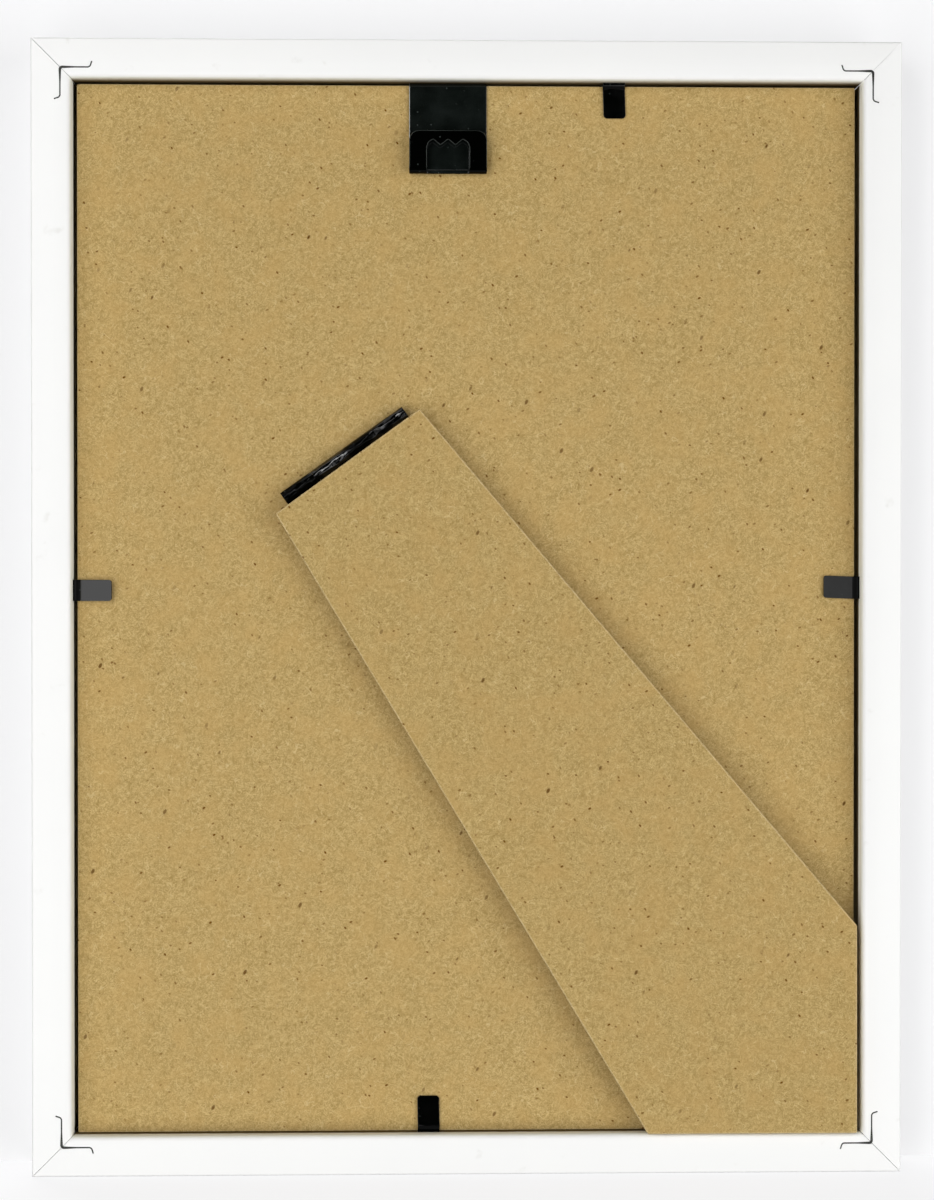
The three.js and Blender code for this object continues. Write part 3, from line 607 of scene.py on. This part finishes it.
# %% Model the corner nail and its kerf
WIDTH, HEIGHT = 201.0, 262.0  # mm, the frame's outside
NAIL_FROM_EDGE = 6.8  # from both outer edges to the middle of a leg
NAIL_LEG = 6.3
NAIL_THICKNESS, NAIL_THIN = 0.55, 0.55  # mm at the bend, and the share of it that is left at the ends
NAIL_FOOT, NAIL_TOP = -1.1, 8.9
NAIL_BEND = 0.55
CURL_RADIUS, CURL_TURN, CURL_TAIL, CURL_STEPS = 0.75, 72, 0.9, 6
KERF_ROOM = 0.03
NAIL_TAPER = (0.8, 1.8, 3.0)  # mm from the bend, where the strip has thinned


def model_nail(name, thickness, foot, top):
    """A strip on edge, drawn in the corner where the two outer edges start at the origin."""
    leg_start, leg_end = NAIL_FROM_EDGE + NAIL_BEND, NAIL_FROM_EDGE + NAIL_LEG
    nail = start_from(
        name, bpy.ops.mesh.primitive_plane_add, size=1, scale=(leg_end - leg_start, top - foot, 1),
        location=((leg_start + leg_end) / 2, (foot + top) / 2, NAIL_FROM_EDGE))
    slope = math.radians(CURL_TURN)
    tail_along, tail_out = CURL_TAIL * math.cos(slope), CURL_TAIL * math.sin(slope)
    pick("EDGE", lambda p: p.x > leg_end - TOUCH)
    bend_on((leg_end, 0, NAIL_FROM_EDGE - CURL_RADIUS), (0, 1, 0), CURL_TURN, CURL_STEPS)
    run_on((tail_along, 0, -tail_out))
    pick("EDGE", lambda p: abs(p.x - leg_start) < TOUCH)
    bend_on((leg_start, 0, leg_start), (0, 1, 0), 90, CURL_STEPS)
    run_on((0, 0, leg_end - leg_start))
    bend_on((NAIL_FROM_EDGE - CURL_RADIUS, 0, leg_end), (0, 1, 0), -CURL_TURN, CURL_STEPS)
    run_on((-tail_out, 0, tail_along))
    for along in NAIL_TAPER:
        slice_at((leg_start + along, 0, 0), (1, 0, 0))
        slice_at((0, 0, leg_start + along), (0, 0, 1))
    leave_edit_mode()
    taper = nail.vertex_groups.new(name="taper")
    for vertex in nail.data.vertices:
        along = max(vertex.co.x, vertex.co.z) - leg_start
        taper.add([vertex.index], min(max(1 - along / NAIL_TAPER[-1], 0), 1), "REPLACE")
    modify(nail, "SOLIDIFY", thickness=thickness, offset=0, use_even_offset=True,
           vertex_group=taper.name, thickness_vertex_group=NAIL_THIN)
    return nail


CORNERS = {  # place of the outer corner in mm, turn about y
    "bottom_left": ((-WIDTH / 2, 0, 0), 0),
    "bottom_right": ((WIDTH / 2, 0, 0), -math.pi / 2),
    "top_right": ((WIDTH / 2, 0, HEIGHT), math.pi),
    "top_left": ((-WIDTH / 2, 0, HEIGHT), math.pi / 2),
}
for corner, (at, turn) in CORNERS.items():
    nail = model_nail("nail_" + corner, NAIL_THICKNESS, NAIL_FOOT, NAIL_TOP)
    put(nail, at, turn)
    finish_piece(nail, spring_steel)
    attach(nail, "frame")
    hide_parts("corner_nail_" + corner)

# %% [markdown]
# ## Rails
# Every rail is a length of moulding: a rabbet for the stack, a lip in front, a back that is slightly crowned, and
# soft arrises where the lacquer rounds them. A rail starts as a square bar. The rabbet's lip is drawn out of it,
# the long edges are rounded one by one, the ends are sawn to the mitre, and then the kerfs and the slot for the
# tab are cut. All four lie in the same position on the bench and are then turned to their sides.

# %% Model a rail
RAIL_BACK, RAIL_DEPTH = 9.2, 18.0
LIP_WIDTH, SEAT = 5.5, -2.5
LAND = (4.2, 6.4)  # the highest strip of the crowned back, from the outer edge
BACK_FALL, RECESS_FALL = 0.25, 0.3
MITRE_GAP = 0.07
LAND_ROUND, BACK_ROUND, RECESS_ROUND, FACE_ROUND, SIGHT_ROUND = 1.0, 0.45, 1.2, 1.0, 1.2  # mm
WALL_STARTS, WALL_FACES = RAIL_BACK - 0.5, 0.7  # mm in z, and the least z of a normal, of the rabbet's wall


def round_edge(width, segments, test):
    """Round the long edges that pass the test."""
    pick("EDGE", test)
    bpy.ops.mesh.bevel(offset=width, segments=segments, affect="EDGES")


def model_rail(name, length):
    """A bar along x whose outer side lies at z = 0, with its rabbet, crown, arrises and mitres."""
    half, back = length / 2, RAIL_DEPTH / 2
    rail = start_from(name, bpy.ops.mesh.primitive_cube_add, size=1, location=(0, 0, RAIL_BACK / 2),
                      scale=(length, RAIL_DEPTH, RAIL_BACK))
    slice_at((0, SEAT, 0), (0, 1, 0))
    pick("FACE", lambda p: p.z > RAIL_BACK - TOUCH and p.y < SEAT + TOUCH)
    run_on((0, 0, LIP_WIDTH))
    for line in LAND:
        slice_at((0, 0, line), (0, 0, 1))
    pick("VERT", lambda p: p.y > back - TOUCH and p.z < TOUCH)
    bpy.ops.transform.translate(value=(0, -BACK_FALL, 0))
    pick("VERT", lambda p: p.y > back - TOUCH and p.z > RAIL_BACK - TOUCH)
    bpy.ops.transform.translate(value=(0, -RECESS_FALL, 0))
    round_edge(LAND_ROUND, 4, lambda p: p.y > back - TOUCH and min(abs(p.z - line) for line in LAND) < TOUCH)
    round_edge(BACK_ROUND, 5, lambda p: p.y > back - BACK_FALL - TOUCH and p.z < TOUCH)
    round_edge(RECESS_ROUND, 8, lambda p: p.y > back - RECESS_FALL - TOUCH and p.z > RAIL_BACK - TOUCH)
    round_edge(FACE_ROUND, 6, lambda p: p.y < TOUCH - back and p.z < TOUCH)
    round_edge(SIGHT_ROUND, 6, lambda p: p.y < TOUCH - back and p.z > RAIL_BACK + LIP_WIDTH - TOUCH)
    for end in (-1, 1):
        slice_at((end * (half - MITRE_GAP), 0, 0), (end, 0, 1), clear_outer=True, use_fill=True)
    return rail


def show_rabbet(rail):
    """Give the rabbet's wall and seat the second finish."""
    face_outwards(rail)
    for face in rail.data.polygons:
        wall = face.center.z > WALL_STARTS and face.center.y > SEAT and face.normal.z > WALL_FACES
        seat = abs(face.center.y - SEAT) < TOUCH
        face.material_index = 1 if wall or seat else 0


SIDES = {  # place of the outer edge's middle in mm, turn about y, length
    "bottom": ((0, 0, 0), 0, WIDTH),
    "right": ((WIDTH / 2, 0, HEIGHT / 2), -math.pi / 2, HEIGHT),
    "top": ((0, 0, HEIGHT), math.pi, WIDTH),
    "left": ((-WIDTH / 2, 0, HEIGHT / 2), math.pi / 2, HEIGHT),
}
TABS = {  # place along the rail, width, reach from the wall, rounding of the tip, lean, all in mm, lift in degrees
    "bottom": (9.1, 5.1, 8.3, 0.75, 0.1, 0.0),
    "right": (4.1, 4.9, 9.0, 0.7, 0.0, 11.0),
    "top": (33.95, 5.15, 8.1, 0.85, 0.2, 0.0),
    "left": (-4.7, 5.2, 8.3, 0.65, -0.25, 1.5),
}
TAB_THICKNESS, TAB_MIDDLE = 0.5, 5.05
SLOT_MIDDLE, SLOT_DEPTH, SLOT_ROOM = 6.2, 7.0, 0.06
KERF_BELOW, KERF_ABOVE = 0.1, 1.0  # mm by which the kerf's cutter passes the nail's foot and the rail's back

for side, (at, turn, length) in SIDES.items():
    rail = model_rail("moulding_" + side, length)
    along, width = TABS[side][:2]
    slot = start_from("slot", bpy.ops.mesh.primitive_cube_add, size=1, location=(along, TAB_MIDDLE, SLOT_MIDDLE),
                      scale=(width + 2 * SLOT_ROOM, TAB_THICKNESS + 2 * SLOT_ROOM, SLOT_DEPTH))
    cut_out(rail, slot)
    for end, turned in ((-1, 0), (1, -math.pi / 2)):
        kerf = model_nail("kerf", NAIL_THICKNESS + 2 * KERF_ROOM, NAIL_FOOT - KERF_BELOW,
                          RAIL_DEPTH / 2 + KERF_ABOVE)
        put(kerf, (end * length / 2, 0, 0), turned)
        cut_out(rail, kerf)
    show_rabbet(rail)
    put(rail, at, turn)
    finish_piece(rail, white_lacquer, SHADED_RABBETS[side])
    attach(rail, "frame")
    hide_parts("rail_" + side)

# %% [markdown]
# ## Pane, sheet and backing board
# Three flat layers fill the rabbet: float glass with seamed edges, a sheet of paper where the picture goes, and
# the fibreboard back. Each is a block of its real size whose arrises are broken, because a sharp edge catches no
# light and looks drawn. The board's sawn edges get their own paler finish.

# %% Model the three layers
SAWN_BELOW = 0.97  # the greatest y of a normal that belongs to a sawn edge


def model_layer(name, finishes, low, high, arris, segments):
    """A flat layer between two corner points in mm, with its arrises broken."""
    middle = [(a + b) / 2 for a, b in zip(low, high)]
    layer = start_from(name, bpy.ops.mesh.primitive_cube_add, size=1, location=middle,
                       scale=[b - a for a, b in zip(low, high)])
    bpy.ops.mesh.select_all(action="SELECT")
    bpy.ops.mesh.bevel(offset=arris, segments=segments, affect="EDGES")
    finish_piece(layer, *finishes)
    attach(layer, "frame")
    return layer


def show_sawn_edges(piece):
    """Give the faces that don't look forward or back the paler finish of a cut edge."""
    for face in piece.data.polygons:
        face.material_index = 1 if abs(face.normal.y) < SAWN_BELOW else 0


pane = model_layer("pane", [float_glass], low=(-90.7, -2.3, 9.5), high=(90.7, -0.3, 252.2), arris=0.25, segments=2)
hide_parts("glass_pane")
sheet = model_layer("blank_sheet", [paper], low=(-90.0, -0.1, 9.5), high=(90.0, 0.3, 249.5), arris=0.05, segments=1)
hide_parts("insert_sheet")
back = model_layer("fibreboard_back", [fibreboard, sawn_edge], low=(-90.3, 1.3, 9.28), high=(90.4, 3.8, 252.2),
                   arris=0.22, segments=3)
show_sawn_edges(back)
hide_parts("backing_board")

# %% [markdown]
# ## Strut
# The strut is one plate of the same fibreboard. Its head follows the sloping hinge, and its foot has two edges,
# one for a frame that stands upright and one for a frame on its side. A circle with five vertices becomes the
# outline: each vertex goes to its corner, and the face is drawn out to its thickness. The hinge's leaf has
# some spring, so the folded strut stands a little off the board at its foot: it is turned about the pin by half a
# degree.

# %% Model the strut
def plate_from_outline(name, corners, near, far):
    """A flat plate between two depths, from a circle whose vertices go to the corners one after another."""
    plate = start_from(name, bpy.ops.mesh.primitive_circle_add, vertices=len(corners), radius=1, fill_type="NGON",
                       rotation=(math.pi / 2, 0, 0))
    outline = bmesh.from_edit_mesh(plate.data)
    for vertex, (x, z) in zip(outline.verts, corners):
        vertex.co = (x, near, z)
    bmesh.update_edit_mesh(plate.data)
    bpy.ops.mesh.select_all(action="SELECT")
    run_on((0, far - near, 0))
    return plate


HINGE_PLACE, HINGE_TILT = Vector((28.5, 5.5, 166.3)), math.radians(HINGE_SLOPE)
STRUT_SPRING = math.radians(0.5)


def spring_up(piece):
    """Turn a piece about the hinge's pin, so that it stands a little off the board."""
    put(piece, (0, 0, 0), 0)
    pin_axis = Vector((math.cos(HINGE_TILT), 0, -math.sin(HINGE_TILT)))
    to_pin = Matrix.Translation(HINGE_PLACE)
    piece.matrix_world = to_pin @ Matrix.Rotation(STRUT_SPRING, 4, pin_axis) @ to_pin.inverted()
    bpy.ops.object.transform_apply()


STRUT_CORNERS = ((44.46, 152.78), (11.2, 177.0), (-90.15, 57.4), (-90.15, 9.3), (-41.54, 9.3))
STRUT_FRONT, STRUT_BACK, STRUT_ARRIS = 6.1, 8.6, 0.36
strut = plate_from_outline("strut_plate", STRUT_CORNERS, STRUT_FRONT, STRUT_BACK)
modify(strut, "BEVEL", width=STRUT_ARRIS, segments=3, limit_method="ANGLE")
spring_up(strut)
finish_piece(strut, strut_board, sawn_edge)
show_sawn_edges(strut)
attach(strut, "strut")
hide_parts("strut")

# %% [markdown]
# ## Hinge
# The hinge is two leaves of sheet steel on one pin. Each leaf has two knuckles, which are tongues of the sheet that
# are curled round the pin, and two prongs at its far edge that are pressed into the board. A leaf starts as a flat
# plane. It is sliced where the knuckles and prongs begin and end, and then these are drawn out and bent.

# %% Model the hinge
LEAF_THICKNESS, LEAF_START, LEAF_END, LEAF_ARRIS = 0.6, -1.75, -15.0, 0.06
BARREL_LENGTH, KNUCKLE_GAP, KNUCKLE_COUNT = 34.5, 0.03, 4
CURL_MIDDLE = 1.32  # radius of the middle of the curled sheet
UNDER_TURN, UNDER_STEPS, OVER_STEPS = 282, 28, 26  # degrees, and the steps of both curls
PRONG_PLACES, PRONG_WIDTH, PRONG_SHANK, PRONG_POINT = (-11.0, 11.0), 1.8, 1.0, 0.9
PRONG_TIP = 0.08  # share of a prong's width that is left at its point
KNUCKLE_PITCH = (BARREL_LENGTH + KNUCKLE_GAP) / KNUCKLE_COUNT


def curl_under():
    """The board's leaf runs under the pin and curls up and over it."""
    run_on((0, 0, -LEAF_START))
    bend_on((0, 0, 0), (1, 0, 0), -UNDER_TURN, UNDER_STEPS)


def curl_over():
    """The strut's leaf rises to the top of the barrel and curls over and under the pin."""
    slope = math.acos(CURL_MIDDLE / -LEAF_START)
    run_on((0, CURL_MIDDLE * math.sin(slope), -LEAF_START - CURL_MIDDLE * math.cos(slope)))
    bend_on((0, 0, 0), (1, 0, 0), 360 - 2 * math.degrees(slope), OVER_STEPS)


def model_leaf(name, height, first_knuckle, curl, prong_side, sprung):
    """One leaf on the bench: the pin runs along x through the origin, and the leaf lies towards -z."""
    leaf = start_from(name, bpy.ops.mesh.primitive_plane_add, size=1, rotation=(math.pi / 2, 0, 0),
                      location=(0, height, (LEAF_START + LEAF_END) / 2),
                      scale=(BARREL_LENGTH, LEAF_START - LEAF_END, 1))
    knuckles = []
    for number in range(first_knuckle, KNUCKLE_COUNT, 2):
        start = -BARREL_LENGTH / 2 + number * KNUCKLE_PITCH
        knuckles.append((start, start + KNUCKLE_PITCH - KNUCKLE_GAP))
    prongs = [(place - PRONG_WIDTH / 2, place + PRONG_WIDTH / 2) for place in PRONG_PLACES]
    for start, end in knuckles + prongs:
        slice_at((start, 0, 0), (1, 0, 0))
        slice_at((end, 0, 0), (1, 0, 0))

    def in_tongue(p):
        """Whether a point of the flat sheet belongs to the knuckle or prong in hand."""
        return start - TOUCH < p.x < end + TOUCH and abs(p.y - height) < TOUCH

    for start, end in knuckles:
        pick("EDGE", lambda p: p.z > LEAF_START - TOUCH and in_tongue(p))
        curl()
    for start, end in prongs:
        pick("EDGE", lambda p: p.z < LEAF_END + TOUCH and in_tongue(p))
        run_on((0, prong_side * PRONG_SHANK, 0))
        run_on((0, prong_side * PRONG_POINT, 0))
        bpy.ops.transform.resize(value=(PRONG_TIP, 1, 1), center_override=((start + end) / 2, height, LEAF_END))
    modify(leaf, "SOLIDIFY", thickness=LEAF_THICKNESS, offset=0, use_even_offset=True)
    modify(leaf, "BEVEL", width=LEAF_ARRIS, segments=2, limit_method="ANGLE", angle_limit=SHARP_ABOVE)
    put(leaf, HINGE_PLACE, HINGE_TILT)
    if sprung:
        spring_up(leaf)
    finish_piece(leaf, rolled_enamel)
    return leaf


board_leaf = model_leaf("hinge_leaf_on_back", -CURL_MIDDLE, 0, curl_under, -1, False)
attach(board_leaf, "frame")
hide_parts("hinge_board_leaf")
strut_leaf = model_leaf("hinge_leaf_on_strut", 0, 1, curl_over, 1, True)
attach(strut_leaf, "strut")
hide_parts("hinge_strut_leaf")

PIN_LENGTH, PIN_RADIUS, PIN_ROUND = 33.9, 0.6, 0.15
pin = start_from("pin", bpy.ops.mesh.primitive_cylinder_add, vertices=32, radius=PIN_RADIUS, depth=PIN_LENGTH,
                 rotation=(0, math.pi / 2, 0))
for end in (-1, 1):
    pick("FACE", lambda p: end * p.x > PIN_LENGTH / 2 - TOUCH)
    bpy.ops.mesh.bevel(offset=PIN_ROUND, segments=3, affect="EDGES")
put(pin, HINGE_PLACE, HINGE_TILT)
finish_piece(pin, spring_steel)
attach(pin, "frame")
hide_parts("hinge_pin")

# %% [markdown]
# ## Hanger
# The hanger is one strip of sheet steel that clips over the board's top edge. At its lower end it is folded up
# again, and the lip has a window with two teeth, so that a nail finds one of three notches. The window runs down
# through the fold. The flat run behind the board comes first, then both ends are bent on from it, and the window
# is punched with a toothed block.

# %% Model the hanger
HANGER_MIDDLE, HANGER_WIDTH, HANGER_THICKNESS = 4.6, 18.0, 0.6
STRIP_BACK, STRIP_INNER, CLIP_BEND = 4.3, 0.8, 0.7
CLIP_TOP, CLIP_END = 251.75, 239.8  # where the clip starts to bend over the board, and where it ends in front of it
FOLD_CENTRE, FOLD_RADIUS = (5.6, 233.1), 1.3
LIP_TOP, LIP_CORNER = 241.4, 2.3
WINDOW = ((-4.9, 231.0), (-4.9, 237.6), (-4.5, 238.6), (-3.4, 239.3), (-1.7, 237.9), (0, 239.3), (1.75, 237.9),
          (3.5, 239.3), (4.5, 238.6), (4.9, 237.6), (4.9, 231.0))
PUNCH_START, PUNCH_END = 5.0, 9.0  # mm in y, from inside the fold to past the lip
WINDOW_ROUND, SHEET_ARRIS = 0.3, 0.18
# mm in x from which one long edge of the strip gets the painted highlight
HIGHLIT_EDGE_FROM = HANGER_MIDDLE + HANGER_WIDTH / 2 - 0.5  # mm in x
FLAT, TILTED = 0.99, 0.2  # shares of a normal, on a flat face and on one that leans

hanger = start_from("wall_hanger", bpy.ops.mesh.primitive_plane_add, size=1, rotation=(math.pi / 2, 0, 0),
                    location=(HANGER_MIDDLE, STRIP_BACK, (FOLD_CENTRE[1] + CLIP_TOP) / 2),
                    scale=(HANGER_WIDTH, CLIP_TOP - FOLD_CENTRE[1], 1))
pick("EDGE", lambda p: p.z < FOLD_CENTRE[1] + TOUCH)
bend_on((0, *FOLD_CENTRE), (1, 0, 0), 180, 16)
run_on((0, 0, LIP_TOP - FOLD_CENTRE[1]))
pick("VERT", lambda p: abs(p.z - LIP_TOP) < TOUCH and p.y > FOLD_CENTRE[0])
bpy.ops.mesh.bevel(offset=LIP_CORNER, segments=8, affect="VERTICES")
pick("EDGE", lambda p: p.z > CLIP_TOP - TOUCH)
bend_on((0, STRIP_BACK - CLIP_BEND, CLIP_TOP), (1, 0, 0), 90, 8)
run_on((0, STRIP_INNER + 2 * CLIP_BEND - STRIP_BACK, 0))
bend_on((0, STRIP_INNER + CLIP_BEND, CLIP_TOP), (1, 0, 0), 90, 8)
run_on((0, 0, CLIP_END - CLIP_TOP))
modify(hanger, "SOLIDIFY", thickness=HANGER_THICKNESS, offset=0, use_even_offset=True)
punch = plate_from_outline("punch", [(HANGER_MIDDLE + x, z) for x, z in WINDOW], PUNCH_START, PUNCH_END)
modify(punch, "BEVEL", width=WINDOW_ROUND, segments=4, limit_method="ANGLE", angle_limit=math.radians(20))
for edges in ("rim", "window"):  # the rim first: short edges in the window would hold its arris back
    if edges == "window":
        cut_out(hanger, punch)
    modify(hanger, "BEVEL", width=SHEET_ARRIS, segments=2, limit_method="ANGLE", angle_limit=SHARP_ABOVE,
           use_clamp_overlap=edges == "rim")
finish_piece(hanger, dusty_enamel, dull_enamel, lip_edge_highlight_enamel, sheared_edge_highlight_steel)
for face in hanger.data.polygons:
    x, y, z = face.center / MM
    under_fold = z < FOLD_CENTRE[1] and face.normal.z < -TILTED
    if y > FOLD_CENTRE[0] and (face.normal.y > FLAT or under_fold):
        face.material_index = 1  # the lip's face and the fold are dull
    elif y > FOLD_CENTRE[0] + FOLD_RADIUS and face.normal.y > TILTED:
        face.material_index = 2  # the lip's arris is painted grey, a painted highlight
    elif x > HIGHLIT_EDGE_FROM and y < FOLD_CENTRE[0] and TILTED < face.normal.x < FLAT:
        face.material_index = 3  # one edge of the strip is bare steel in a pale tone, a painted highlight
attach(hanger, "frame")
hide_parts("hanger")

# %% [markdown]
# ## Bending tabs
# A tab is one strip of soft sheet steel, driven into a slot of its rail and bent down on the board. It steps down
# close to the wall and then lies almost flat, and as each was bent by hand, they lean and lift a little. To open the
# frame, a finger bends it up. It is one continuous strip here.

# %% Model the tabs
TAB_BURIED, TAB_POINT, TAB_ARRIS = 6.0, 1.6, 0.08
STEP_START, STEP_RADIUS, STEP_SLOPE, STEP_TURNS = 0.1, 0.6, math.radians(45), 5
STEP_DROP = 0.92  # down to the board, with a hair of air
BEND_ENDS = 1.6  # mm from the wall, up to where the coat is dull
BRIGHT_BEND = {"top": 0.7}  # mm of it that kept the coat's shine
STEP_STRAIGHT = STEP_DROP / math.sin(STEP_SLOPE) - 2 * STEP_RADIUS * math.tan(STEP_SLOPE / 2)


def model_tab(side):
    """One tab on the bench, along z from its buried end to its tip, in the position of the bottom rail's tab."""
    at, turn, _ = SIDES[side]
    along, width, reach, rounding, lean, lift = TABS[side]
    tab = start_from("tab_" + side, bpy.ops.mesh.primitive_plane_add, size=1, rotation=(math.pi / 2, 0, 0),
                     location=(along, TAB_MIDDLE, RAIL_BACK - TAB_BURIED / 2), scale=(width, TAB_BURIED, 1))
    pick("VERT", lambda p: p.z < RAIL_BACK - TAB_BURIED + TOUCH)
    bpy.ops.mesh.bevel(offset=TAB_POINT, segments=1, affect="VERTICES")
    pick("EDGE", lambda p: p.z > RAIL_BACK - TOUCH)
    run_on((0, 0, STEP_START))
    fall, run = math.sin(STEP_SLOPE), math.cos(STEP_SLOPE)
    y, z = TAB_MIDDLE, RAIL_BACK + STEP_START
    bend_on((0, y - STEP_RADIUS, z), (1, 0, 0), math.degrees(STEP_SLOPE), STEP_TURNS)
    run_on((0, -STEP_STRAIGHT * fall, STEP_STRAIGHT * run))
    y += STEP_RADIUS * (run - 1) - STEP_STRAIGHT * fall
    z += STEP_RADIUS * fall + STEP_STRAIGHT * run
    foot = (0, y + STEP_RADIUS * run, z + STEP_RADIUS * fall)
    bend_on(foot, (1, 0, 0), -math.degrees(STEP_SLOPE) - lift, STEP_TURNS)
    rise = math.radians(lift)
    left = RAIL_BACK + reach - z - STEP_RADIUS * (fall + math.sin(rise))
    run_on((lean, left * math.tan(rise), left))
    pick("VERT", lambda p: p.z > RAIL_BACK + reach - TOUCH)
    bpy.ops.mesh.bevel(offset=rounding, segments=6, affect="VERTICES")
    modify(tab, "SOLIDIFY", thickness=TAB_THICKNESS, offset=0, use_even_offset=True)
    modify(tab, "BEVEL", width=TAB_ARRIS, segments=2, limit_method="ANGLE", angle_limit=SHARP_ABOVE)
    dull_from = BRIGHT_BEND.get(side, -TAB_BURIED)
    for face in tab.data.polygons:
        face.material_index = 1 if dull_from < face.center.z - RAIL_BACK < BEND_ENDS else 0
    put(tab, at, turn)
    finish_piece(tab, black_enamel, dull_enamel)
    return tab


for side, (at, turn, _) in SIDES.items():
    tab = model_tab(side)
    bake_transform(tab)
    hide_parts("tab_root_" + side, "tab_finger_" + side)
